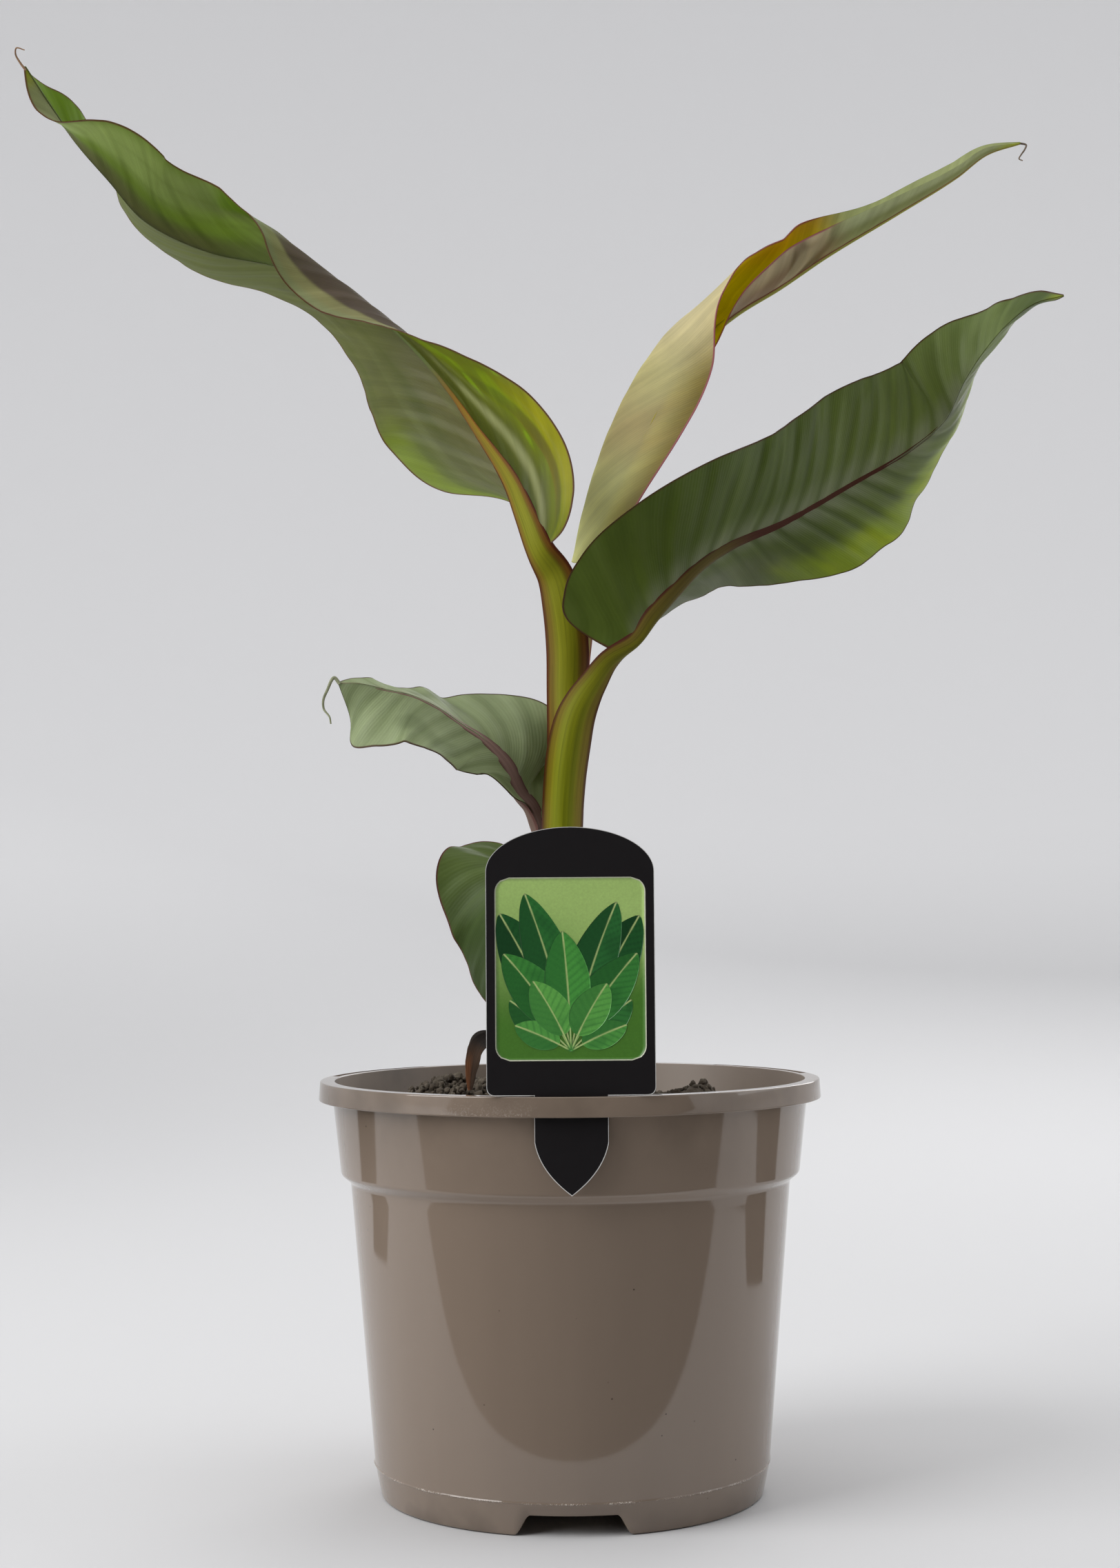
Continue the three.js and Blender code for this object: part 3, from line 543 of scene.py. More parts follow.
def leaf_a_colours(side, u, v, ridge, vein):
    """Olive to green with a painted yellow glow of light through the leaf by the margin low on the right,
    painted shade in the creases, maroon under the roll, a green tip.
    """
    patchy = waves(vein / 9, v * 5, 21)
    fibres = waves(vein / 30, v * 21, 31)
    if side > 0:
        # Painted shade: crease marks three lengthways creases of the wide part, darkened with #56682c below
        crease = band(v, .4, .45, .03) + band(v, .66, .7, .03) + .7 * band(v, .2, .24, .03)
        upper = coats(
            "#646b26",
            ("#444c0c", (1 - step(v, .12, .34)) * (1 - step(u, .25, .4))),
            ("#aeb27c", band(v, .3, .42, .06) * (1 - step(u, .2, .4)) * .8),
            # Painted glow: #768208, #8fae00, #a9a400 and #94bc00 by the margin low on the right stand for
            # light shining through the leaf
            ("#768208", step(v, .42, .6) * (1 - step(u, .3, .45))),
            ("#8fae00", step(v, .55, .8) * step(patchy, .1, .4) * (1 - step(u, .3, .4)) * .85),
            ("#a9a400", band(v, .74, 1.2, .12) * band(u, .03, .17, .05) * step(fibres, -.7, .1)),
            ("#86700c", band(v, .6, .8, .06) * band(u, .05, .15, .04) * step(-fibres, 0, .5) * .8),
            ("#94bc00", step(v, .5, .6) * step(waves(vein / 4, v * 9, 51), .75, .9)
             * (1 - step(u, .24, .32)) * .8),
            ("#6f7c4c", step(u, .42, .52)),
            ("#83a040", band(v, .22, .55, .12) * step(u, .55, .66)),
            ("#587a1c", step(v, .58, .74) * band(u, .5, .68, .04) * .9),
            ("#b2ca78", step(v, .3, .5) * step(u, .66, .76) * .85),
            ("#6f6c4a", (1 - step(v, .08, .28)) * step(u, .6, .7) * .8),
            ("#6f8c34", step(v, .8, 1) * step(u, .66, .74) * .6),
            ("#56682c", crease * band(u, .55, .84, .04) * .2))
    else:
        upper = coats(
            "#6e7246",
            ("#84805a", (1 - step(v, .1, .45)) * (1 - step(u, .3, .45))),
            ("#809620", step(v, .5, .9) * (1 - step(u, .2, .34))),
            ("#767d4e", step(u, .5, .6)))
    nearer = 1 - step(u, .52, .62)
    tip = step(u, .965, .995)
    upper = coats(upper, ("#4c5a20", step(-fibres, .1, .9) * .3 * nearer),
                  ("#a2ae70", step(fibres, .3, 1) * .2 * nearer), ("#a8a81c", tip))
    under = coats("#62504a", ("#a19d6c", step(v, .72, .78)), ("#86905f", step(u, .55, .62)),
                  ("#98a578", band(v, .9, 1.2, .05) * .6),
                  ("#709800" if side < 0 else "#8c8e6a", step(u, .84, .88)), ("#9aa018", tip))
    return upper, under


def leaf_b_colours(side, u, v, ridge, vein):
    """Cream-green under the rolled half, palest at the foot in a painted glow of light through the leaf,
    brown and cream streaks and a painted pale sheen where it closes, a green tip; the inner face a painted
    yellow glow.
    """
    closed = step(u, .6, .68)
    # Painted glow: #eef2ac, palest at the foot, stands for light shining through the leaf
    layers = [("#eef2ac", 1 - step(u, .04, .26)),
              ("#6c5822", step(v, .66, 1) * (1 - step(u, .3, .44)) * .85),
              ("#bca470", band(u, .16, .25, .05) * step(waves(vein / 9, v * 5, 21), -.1, .6) * .6),
              ("#e2d6ac", band(u, .33, .46, .05) * .8)]
    if side > 0:
        layers += [("#927c68", band(u, .4, .8, .05)),
                   # Painted sheen: #d0c8a4 pales the upper part of the roll's wall
                   ("#d0c8a4", step(v, .45, .9) * band(u, .46, .8, .05) * .75),
                   ("#4a3628", step(waves(vein / 6, v * 2, 61), .1, .6) * band(u, .4, .72, .05) * .75),
                   ("#c9bea0", step(waves(vein / 5, v * 2, 62), .4, .8) * band(u, .44, .8, .05) * .6)]
    under = coats("#cbc48a", *layers, ("#8f9868", closed), ("#bcc69a", closed * step(v, .5, .8)),
                  ("#b0bc30", step(u, .94, .99)))
    # Painted glow: the inner face's bright yellow #eee61e and orange #e0b428 stand for light shining
    # through the roll, brightened against its shade
    return coats("#eee61e", ("#e0b428", step(v, .55, .95) * step(u, .4, .5)), ("#b3bf8c", closed)), under


def leaf_c_colours(side, u, v, ridge, vein):
    """Deep green with a painted grey sheen by the rib, painted shade between the pleats and highlight on
    their crests, and a painted lime glow of light through the leaf toward the right margin.
    """
    # Painted light: sheen is a grey highlight by the rib, #3f4c1c shade in the pleats' troughs and #6c7a40
    # highlight on their crests
    sheen = (1 - step(v, .02, .34)) * (.72 + .28 * ridge)
    layers = [("#6b7a3c", step(u, .3, .62) * .8), ("#8b9075" if side < 0 else "#848970", sheen * .8),
              ("#3f4c1c", step(-ridge, .3, 1.1) * .35), ("#6c7a40", step(ridge, .4, 1.2) * .2)]
    if side > 0:
        # Right half: #6c7254 is painted sheen by the rib, #4c5832 painted shade in the pleats' troughs, and
        # the lime strip, #93a828 and #adbc10, a painted glow of light through the leaf
        strip = step(v + .03 * ridge, .42, .78) * band(u, .36, .76, .07)
        layers += [("#6c7254", step(v, .1, .6) * (1 - step(u, .3, .42)) * .8),
                   ("#4c5832", step(-ridge, .3, 1.1) * (1 - step(v, .45, .7)) * .35),
                   ("#93a828", strip), ("#adbc10", strip * step(waves(vein / 9, v * 5, 21), 0, .5) * .6)]
    upper = coats("#526226", *layers, ("#829456", step(u, .74, .86)), ("#56682e", step(u, .87, .95)),
                  ("#93a228", step(u, .96, .99)))
    return upper, coats("#6d5049", ("#7b8a4a", step(v, .6, 1) * .7), ("#6f9c2f", step(u, .93, .99)))


def leaf_d_colours(side, u, v, ridge, vein):
    """Seen from below: grey-green, with painted shade between the pleats and painted highlight on their
    crests, and darker in soft patches.
    """
    # Painted light: #808f60 is shade in the pleats' troughs, #b0bc98 highlight on their crests
    under = coats("#a6b486", ("#808f60", step(-ridge, .1, 1.1) * .35),
                  ("#b0bc98", step(ridge, .3, 1.3) * .2),
                  ("#66744c", step(waves(vein / 9, v * 5, 21), .2, .9) * .35))
    # Painted shade: #3c5529 darkens the upper face in the pleats' troughs
    return coats("#4d6b36", ("#3c5529", step(-ridge, .2, 1) * .5)), under


def leaf_e_colours(side, u, v, ridge, vein):
    """Dark green above, browner below."""
    # Painted shade: #3c521c darkens the upper face further along, where the leaf turns down away from the
    # light, and #3a4e1c the pleats' troughs
    upper = coats("#5d7036", ("#3c521c", step(u, .36, .58)), ("#3a4e1c", step(-ridge, .2, 1) * .2))
    return upper, linear("#75604f") + 0 * upper


LEAF_COLOURS = {"leaf_a": leaf_a_colours, "leaf_b": leaf_b_colours, "leaf_c": leaf_c_colours,
                "leaf_d": leaf_d_colours, "leaf_e": leaf_e_colours}


def leaf_blade(name):
    """A leaf's blade: two closed shells of leaf tissue, one each side of the rib. Leaf D's underside
    is turned to the front. The cord at the margin fades where leaf B is rolled shut."""
    face = -1 if name == "leaf_d" else 1
    shells, faces, kinds, edges, tints, uvs = [], [], [], [], [], []
    for side in (1, -1):
        g = half_blade(LEAVES[name], side)
        rows, columns = g["v"].shape
        half_sheet = g["normal"] * face * SHEET_MM / 2
        shell = np.concatenate([(g["surface"] + up * half_sheet).reshape(-1, 3) for up in (1, -1)])
        groups = closed_sheet(rows, columns)
        faces.append(outward(shell, np.concatenate(groups))[0] + sum(map(len, shells)))
        kinds.append(np.repeat([0, 1, 0], [len(group) for group in groups]))
        from_margin = (1 - g["v"]) * g["width"] + (step(g["u"], .6, .68) if name == "leaf_b" else 0)
        across = np.stack([g["vein"], g["v"] * g["width"]], -1).reshape(-1, 2)
        upper, under = LEAF_COLOURS[name](side, g["u"], g["v"], g["ridge"], g["vein"])
        shells.append(shell)
        edges += [from_margin.ravel()] * 2
        tints += [upper.reshape(-1, 3), under.reshape(-1, 3)]
        uvs += [across] * 2
    shells, kinds, edges, tints, uvs = map(np.concatenate, (shells, kinds, edges, tints, uvs))
    skins = [SKINS[name + "_upper_satin"], SKINS[name + "_under_matt"]]
    return make_piece(name + "_tissue", shells, faces, skins, kinds, dict(edge=edges, tint=tints), uvs)


# Stalks, stem and tails

def stalk_colours(left, middle, right, margin, back, rib=None, rib_from=.5, far=None, far_from=.6):
    """A function giving the stalk's colours: across the front from margin to margin, with a thin
    coloured cord at each margin, and the back; rib is the front's colour further along, and far
    the colour of all of it toward the leaf's tip."""
    def field(u, across, is_back):
        inside = np.minimum(across, 1 - across)
        layers = [(left, 1 - step(across, .1, .32)), (right, step(across, .66, .86)),
                  (rib, step(u, rib_from - .12, rib_from + .12)), (back, is_back * step(inside, 0, .12)),
                  (margin, 1 - step(inside, .02, .09)), (far, step(u, far_from, far_from + .06))]
        return coats(middle, *[layer for layer in layers if layer[0]])
    return field


def channel(name, path, half_width, depth, crown, left, right, colours):
    """A leaf stalk running on as the midrib. The section's front is a shallow valley or crown
    between its two margins, at the left and right angles in the plane across the path; its back is
    half an ellipse. crown lifts the middle of the front, in shares of the half width."""
    u, place, forward, aside = frames(path, 260)[:4]
    at = shares_of(path)
    a, b, c, low, high = (smooth(at, values, u)[:, None]
                          for values in (half_width, depth, crown, left, right))
    margin_left, margin_right, upper = (np.cos(turn) * aside + np.sin(turn) * forward
                                        for turn in np.radians([low, high, (low + high) / 2]))
    lip = .22
    front_t, back_t = np.linspace(0, 1, 22), np.linspace(0, 1, 30)
    t, turn = front_t[:, None, None], np.pi * back_t[:, None, None]
    front = (place + a * ((1 - t) ** 2 * margin_left + t ** 2 * margin_right)
             + (lip + 4 * t * (1 - t) * c * a) * upper)
    centre, reach = (margin_left + margin_right) / 2 * a, (margin_right - margin_left) / 2 * a
    height = (centre * upper).sum(-1, keepdims=True)
    back = place + centre + reach * np.cos(turn) - upper * (lip + (b + height) * np.sin(turn))
    rings = np.concatenate([front, back]).swapaxes(0, 1)
    across = np.concatenate([front_t, 1 - back_t])
    is_back = np.repeat([0, 1], [len(front_t), len(back_t)])
    level = np.zeros((len(u), len(across)))
    tint = colours(u[:, None] + level, across + level, is_back + level)
    uv = np.stack([(walked(place)[-1] * u)[:, None] + level, walked(rings[len(u) // 4]) + level], -1)
    return tube(name, rings, tint, uv, STALK, sharp=50)


def leaf_stalk(name, path, half, depth, crown, left, right, colours, back=1.0, base_crown=0.0):
    """One leaf's stalk and midrib in one piece, from the stem to the leaf's tip. The rib's margins
    stand at the lift angles of the two half blades, and back is its depth for its half width."""
    leaf = LEAVES[name]
    at = shares_of(leaf["rib"])
    rib_half, rib_left, rib_right = (smooth(leaf["at"], values, at) for values in (
        leaf["rib_half"], leaf["left"]["lift"], leaf["right"]["lift"]))
    joined = [np.concatenate(pair) for pair in (
        (half, rib_half), (depth, rib_half * back), (crown, .06 + base_crown * (1 - step(at, .08, .34))),
        (left, 180 - rib_left), (right, rib_right))]
    return channel(name + "_stalk_and_rib", path + leaf["rib"], *joined, colours)


def thin_tail(name, path, start, end, code):
    """A thin dry tail at a leaf's tip: a round thread along a path, its radius going from start to end."""
    u, place, forward, aside = frames(path, 60)[:4]
    turn = turns(10)
    radius = (start + (end - start) * u)[:, None]
    rings = sections(place, aside, radius * np.cos(turn), forward, radius * np.sin(turn))
    return tube(name, rings, linear(code) + 0 * rings, rings[..., :2], WITHERED)


def stem_sheaths():
    """The stem: a tapering round column of wrapped leaf sheaths, R(z) plus a small step at each
    sheath's edge, which climbs round the stem as a slanting line."""
    path = [(-2, 0, 138), (-2, 0, 151), (-2.2, 0, 183), (-2.4, 0, 215), (-2.2, 0, 249), (-1.2, 0, 268)]
    u, place, forward, aside = frames(path, 200)[:4]
    turn = turns(120)
    z = place[:, 2:3]
    line, wrap = 0 * z, 0 * z
    # Each sheath's edge: the turn where it starts at the foot, how far it climbs round, where it ends
    for start, climb, top in ((2.2, 1.1, 232), (4.6, -1.0, 214), (.6, .8, 250)):
        edge = start + climb * (z - 150) / 80
        away = (turn - edge + np.pi) % FULL_TURN - np.pi
        inside = 1 - step(z, top - 4, top)
        wrap = wrap + .45 * step(away, -.03, .06) * (1 - step(away, .5, 2.2)) * inside
        line = np.maximum(line, (1 - step(np.abs(away), .02, .09)) * inside)
    radius = smooth(shares_of(path), [12, 11.2, 9.6, 8.1, 6, 4.8], u)[:, None]
    radius = radius + wrap + .12 * waves(turn * 4, z / 30, 8)
    rings = sections(place, aside, radius * np.cos(turn), forward, radius * np.sin(turn))
    tint = coats("#8d9440", ("#7c5a3a", (1 - step(z, 150, 185)) * .6), ("#6d3f30", line),
                 ("#6f4a34", step(np.abs(np.cos(turn)), .75, 1) * .5 + 0 * z))
    return tube("stem_sheaths", rings, tint, np.stack(np.broadcast_arrays(z, turn * 9), -1), SHEATH)


def old_sheath():
    """The withered sheath: a crinkled strip that leaves the stem's foot, rises, folds over sharply
    and hangs. Its section is a flattened ring whose width and thickness change along it."""
    path = [(-5, -3, 146), (-9.8, -5, 154.6), (-16, -12, 160.8), (-22.4, -20, 166), (-29, -27, 169.8),
            (-33, -31, 169), (-35.5, -33.5, 163), (-36.3, -34, 157), (-36.6, -34, 151.5)]
    u, place, forward, aside = frames(path, 160)[:4]
    wide, thin = (smooth(shares_of(path), values, u)[:, None] for values in (
        [3.6, 3.6, 3.6, 3.4, 3.2, 3.2, 2.8, 2, .8], [1.6, 1.3, 1.1, 1, .9, .8, .7, .6, .4]))
    turn = turns(36)
    u = u[:, None] + 0 * turn
    crinkle = 1 + .22 * waves(turn * 2.2, u * 22, 3)
    x, y = wide * np.cos(turn) * crinkle, thin * np.sin(turn) * crinkle + .15 * np.cos(2 * turn) * wide
    tint = coats("#46311f", ("#8f8a2c", band(u, .5, .62, .05)), ("#241a14", band(u, .64, .76, .04)),
                 ("#7c4a26", step(u, .78, .88) * step(np.cos(turn), -.2, .5)))
    return tube("old_sheath_withered", sections(place, aside, x, forward, y), tint,
                np.stack([u * 60, turn * 3 + 0 * u], -1), WITHERED)


# Pot

def corner_arc(before, corner, after, radius):
    """A corner of an outline cut round: five points along a quadratic curve, from so far before the
    corner to as far after it. A radius of 0 leaves the corner alone."""
    before, corner, after = (np.array(point, float) for point in (before, corner, after))
    if radius == 0:
        return corner[None]
    back, on = before - corner, after - corner
    cut = min(radius, .45 * math.hypot(*back), .45 * math.hypot(*on))
    start, end = corner + unit(back) * cut, corner + unit(on) * cut
    t = np.linspace(0, 1, 5)[:, None]
    return (1 - t) ** 2 * start + 2 * t * (1 - t) * corner + t ** 2 * end


def pot():
    """The pot: a rounded outline turned about Z. Its foot is lifted in three notches by
    z' = z + h(turn)(1 - z/11), its mould line is a small ragged ridge, and the strip of flange
    between collar and skirt is left out over three arcs to open the label slots."""
    # Radius, height and rounding of each corner, from the axis underneath, up the outside, over the
    # rim and down the inside. Corners 6 to 8 are the mould line, 12 and 13 the slot from below and
    # 17 and 18 from above, 14 to 16 the skirt.
    corners = [(0, 0, 0), (22, 0, .8), (28, 7.5, .8), (67.4, 7.5, .8), (69.4, 0, .3), (71.8, 0, .5),
               (74.15, 11.2, .1), (74.4, 11.6, .1), (74.25, 12.1, .1), (83, 115.8, 1), (86.6, 118.8, 1),
               (90.3, 152, .6), (90.8, 152, 0), (93.2, 152, 0), (93.5, 146.4, .3), (95, 146.4, .5),
               (94.5, 153.5, .9), (93.3, 153.5, 0), (90.7, 153.5, 0), (89, 153.5, .35), (85.1, 120.3, .8),
               (81.5, 117.3, 1), (71.3, 9, .6), (27, 9, .6), (21, 1.5, .6), (0, 1.5, 0)]
    arcs = [corner_arc(corners[k - 1][:2], corner[:2], corners[(k + 1) % len(corners)][:2], corner[2])
            for k, corner in enumerate(corners)]
    # More rows up the foot and the outer wall, for the notches and an even sheen
    for k, more in ((4, 2), (5, 6), (8, 30)):
        arcs[k] = np.concatenate([arcs[k], np.linspace(arcs[k][-1], arcs[k + 1][0], more + 2)[1:-1]])
    marks = np.cumsum([0] + [len(arc) for arc in arcs])
    outline = np.concatenate(arcs)
    columns, rows = 672, len(outline)
    row = np.arange(rows)
    turn = turns(columns)[:, None]
    r, z = (part + 0 * turn for part in outline.T)
    thirds = np.radians([-90, 30, 150])
    away = np.abs((turn - thirds + np.pi) % FULL_TURN - np.pi).min(1, keepdims=True)
    notch_high, notch_top = 7, 11
    lift = notch_high * (1 - step(away, math.radians(12.2), math.radians(16.8)))
    foot = (r > 60) & (z < notch_top) & (row < marks[20])
    z = z + foot * lift * (1 - z / notch_top)
    outer_wall = row < marks[9]
    ragged = np.clip(.5 + .9 * waves(turn * 21, turn * 3, 4), 0, 1.2)
    seam = np.exp(-((z - 11.6) / .3) ** 2) * outer_wall * ragged
    r = r + .22 * seam
    points = turned(r, turn, z)
    # Slots: two strips of the flange go, and walls close the gap on its four sides
    low_in, low_out, top_out, top_in = marks[[12, 13, 17, 18]]
    in_slot = away[:, 0] < math.radians(20)
    opened = in_slot & np.roll(in_slot, -1)
    slot = np.flatnonzero(opened)
    after = (slot + 1) % columns
    starts, stops = slot[~np.isin((slot - 1) % columns, slot)], after[~np.isin(after, slot)]
    groups = [lathe_faces(columns, rows)[~(opened[:, None] & np.isin(row[:-1], [low_in, top_out]))]]
    for places in ([(slot, low_in), (after, low_in), (after, top_in), (slot, top_in)],
                   [(slot, top_out), (after, top_out), (after, low_out), (slot, low_out)],
                   [(starts, level) for level in (low_in, top_in, top_out, low_out)],
                   [(stops, level) for level in (low_in, low_out, top_out, top_in)]):
        groups.append(np.stack([column * rows + level for column, level in places], 1))
    # Scuffs on the front of the skirt and along the mould line, darker toward the foot, and painted shade
    # on the rim
    side = np.degrees(turn)
    skirt = (row >= marks[13]) & (row <= marks[17]) & (z > 146.2)
    scuffs = (band(side, 243, 262, 3) * band(z, 147.2, 151.6, .8)
              + .35 * band(side, 262, 285, 5) * band(z, 148, 150, .8))
    lower_darkening = (1 - step(z, 1, 14)) * outer_wall * (.35 + .65 * band(side, 190, 245, 12))
    fields = dict(worn=skirt * scuffs + 1.5 * seam, grime=lower_darkening + .5 * ((z > 146.2) & (r > 88)),
                  inside=(row > marks[19] + 2) + 0 * r)
    fields = {label: values.ravel() for label, values in fields.items()}
    return lathe_piece("pot_shell", points, groups, [POT], None, fields, None, 38)


# Compost

def compost_top(x, y):
    """The compost's height: a mound round the stem, exp(-(d/52)^4), with soft hollows and a low heap
    exp(-d^2) at either side."""
    away = np.hypot(x + 8, y - 4) / 52
    bumps = 1.3 * np.sin(.21 * x + 1.2) * np.cos(.17 * y) + .9 * np.sin(.37 * x - .31 * y)
    left = 7 * np.exp(-((x + 54) / 15) ** 2 - ((y - 14) / 24) ** 2)
    right = 11 * np.exp(-((x - 52) / 13) ** 2 - ((y - 18) / 20) ** 2)
    return 135 + 14 * np.exp(-away ** 4) + bumps + left + right


def compost():
    """The compost's body: rings from the middle of its top out to the wall and down, with crumbly
    relief from layered waves."""
    columns, wall = 240, 86.2
    turn = turns(columns)[:, None]
    out = np.linspace(0, wall, 110)
    x, y = out * np.cos(turn), out * np.sin(turn)
    relief = 1.1 * waves(x / 2.6, y / 2.6, 31) + .7 * waves(x / 1.1, y / 1.1, 32)
    top = compost_top(x, y) + relief * step(wall - out, 0, 6)
    skirt = np.array([(wall, 130), (85, 121), (81, 116.5), (71, 10), (27, 9.6), (20.7, 2), (0, 2)])
    r = np.concatenate([out, skirt[:, 0]]) + 0 * turn
    z = np.concatenate([top, skirt[:, 1] + 0 * turn], 1)
    points = turned(r, turn, z)
    faces = lathe_faces(columns, r.shape[1])[..., [0, 3, 2, 1]].reshape(-1, 4)
    return lathe_piece("compost_fill", points, [faces], [COMPOST], None, dict(pale=np.full(r.size, .35)))


def compost_crumbs(name, count, small, large):
    """Crumbs and small clods strewn over the compost, thickest on the mound, in one mesh. Each is a
    ball of 5 rings of 8 points and two poles, pushed in and out and stretched at random."""
    radius = 84 * np.sqrt(RNG.uniform(0, 1, count))
    turn = RNG.uniform(0, FULL_TURN, count)
    x, y = radius * np.cos(turn), radius * np.sin(turn)
    near = np.exp(-(np.hypot(x + 8, y - 4) / 55) ** 2)
    sizes = RNG.uniform(small, large, count) * (.8 + .6 * near)
    sizes = sizes * np.where(RNG.uniform(0, 1, count) > .93, 1.7, 1)
    heap = np.exp(-((x + 46) / 20) ** 2 - (y / 26) ** 2)
    z = compost_top(x, y) + sizes * .35 + 3 * heap * RNG.uniform(.2, 1, count)
    clear = np.hypot(x + 2, y) > 11.5
    places, sizes = np.stack([x, y, z], 1)[clear, None], sizes[clear, None, None]
    rings, around = 5, 8
    down = np.linspace(0, np.pi, rings + 2)[1:-1, None]
    turn = turns(around)
    ball = turned(np.sin(down), turn, np.cos(down) + 0 * turn).reshape(-1, 3)
    ball = np.concatenate([ball, [(0, 0, 1), (0, 0, -1)]])
    push = RNG.uniform(.62, 1.2, (len(places), len(ball), 1))
    stretch = RNG.uniform(.6, 1.2, (len(places), 1, 3))
    k = np.arange(around)
    following, last, pole = (k + 1) % around, (rings - 1) * around, np.full(around, rings * around)
    faces = outward(ball, ring_faces(rings, around)[:, ::-1], np.stack([pole, k, following], 1),
                    np.stack([pole + 1, last + following, last + k], 1))
    shift = (np.arange(len(places)) * len(ball))[:, None, None]
    groups = [(group + shift).reshape(-1, group.shape[1]) for group in faces]
    tone = np.repeat(RNG.uniform(.1, .95, len(places)), len(ball))
    points = places + ball * push * stretch * sizes
    return make_piece(name, points.reshape(-1, 3), groups, [COMPOST], None, dict(pale=tone))


# Label: where the card stands, how thick it and its ink are, and where its printed leaves meet
LABEL_X, LABEL_Y, CARD_MM, INK_MM = .2, -91.5, .6, .01
FAN_FOOT = np.array([0, 169])


def label_outline(inset=0.0):
    """The card's outline as points: straight sides, an elliptical arch on top, a pointed tongue."""
    half, tongue = 29 - inset, 12.7 - inset
    low, shoulder, top, tip = 153.8 + inset, 230.3, 245.7 - inset, 119.6 + inset * 1.6
    turn = np.linspace(0, np.pi, 49)
    arch = np.stack([half * np.cos(turn), shoulder + (top - shoulder) * np.sin(turn)], 1)
    t = np.linspace(0, 1, 13)[:, None]
    corner = 3 - inset * .5

    def bend(a, b, c):
        return (1 - t) ** 2 * np.array(a) + 2 * t * (1 - t) * np.array(b) + t ** 2 * np.array(c)
    left_corner = bend((-half, low + corner), (-half, low), (-half + corner, low))
    right_corner = bend((half - corner, low), (half, low), (half, low + corner))
    left_tongue = bend((-tongue, tip + 18), (-tongue * .86, tip + 8), (0, tip))
    right_tongue = bend((0, tip), (tongue * .86, tip + 8), (tongue, tip + 18))[1:]
    return np.concatenate([arch, left_corner, [(-tongue, low)], left_tongue, right_tongue, [(tongue, low)],
                           right_corner])


def label_card():
    """The card: its outline filled front and back, its cut edge pale, with a thin pale border."""
    outer, inner = label_outline(), label_outline(.2)
    front, back = LABEL_Y - CARD_MM / 2, LABEL_Y + CARD_MM / 2
    points = np.concatenate([np.insert(outline + [LABEL_X, 0], 1, y, axis=1)
                             for outline, y in ((inner, front), (outer, front), (outer, back))])
    count = len(outer)
    k = np.arange(count)
    following = (k + 1) % count
    border = np.stack([k, following, following + count, k + count], 1)
    groups = [k[None], k[None, ::-1] + 2 * count, border, border + count]
    kinds = np.repeat([0, 1], [2, 2 * count])
    return make_piece("label_card", points, groups, [CARD_INK, CARD_EDGE], kinds, sharp=30)


def print_patch(name, x, z, tint, lift):
    """Ink on the card: a closed sheet a hair in front of it, through the grids x and z, tinted by point."""
    front = np.stack([x + LABEL_X, 0 * x + LABEL_Y - CARD_MM / 2 - lift, z], -1).reshape(-1, 3)
    points = np.concatenate([front, front + [0, INK_MM, 0]])
    faces = outward(points, np.concatenate(closed_sheet(*x.shape)))
    fields = dict(tint=np.tile(tint.reshape(-1, 3), (2, 1)))
    return make_piece(name, points, faces, [CARD_PICTURE], None, fields, points[:, [0, 2]])


def printed_panel(name, half, low, high, corner, below, above, lift):
    """A rounded rectangle: each row's half width is short by c - sqrt(c^2 - d^2) within c of an end.
    Its ground fades from one green at the foot to another at the head."""
    s, across = np.linspace(0, 1, 61)[:, None], np.linspace(-1, 1, 41)
    z = low + (high - low) * s + 0 * across
    inside = np.clip(corner - np.minimum(z - low, high - z), 0, corner)
    x = (half - corner + np.sqrt(corner ** 2 - inside ** 2)) * across
    tint = coats(below, (above, step(s + .12 * waves(across * 3, s * 4, 8), .2, .95)))
    return print_patch(name, x, z, tint, lift)


def printed_leaf(name, heading, length, wide, bend, tint, shade, lift):
    """One broad leaf from the foot of the panel: half width w sin(pi s^0.85)^0.7 about a midrib that
    bends as s^2, one half darker, side veins every 2.6 mm and a pale midrib."""
    s, across = np.linspace(0, 1, 65)[:, None], np.linspace(-1, 1, 33)
    turn = math.radians(heading)
    ahead, beside = np.array([math.cos(turn), math.sin(turn)]), np.array([-math.sin(turn), math.cos(turn)])
    blade = np.clip((s - .22) / .78, 0, 1)
    half = wide / 2 * np.sin(np.pi * blade ** .85) ** .7 + .35 * (1 - step(s, .9, 1))
    place = FAN_FOOT + (length * s)[..., None] * ahead + (bend * s ** 2 + across * half)[..., None] * beside
    reach = np.abs(across) * half
    vein = np.sin(FULL_TURN * (s * length - .8 * reach) / 2.6)
    colour = coats(tint, (shade, step(across, -.1, .1) * .75), (shade, step(vein, .2, 1) * .45),
                   (shade, step(waves(s * 9, across * 2, heading), .2, .9) * .4),
                   ("#c3d48a", (1 - step(reach, .15, .36)) * step(s, .02, .1) * .8))
    return print_patch(name, place[..., 0], place[..., 1], colour, lift)


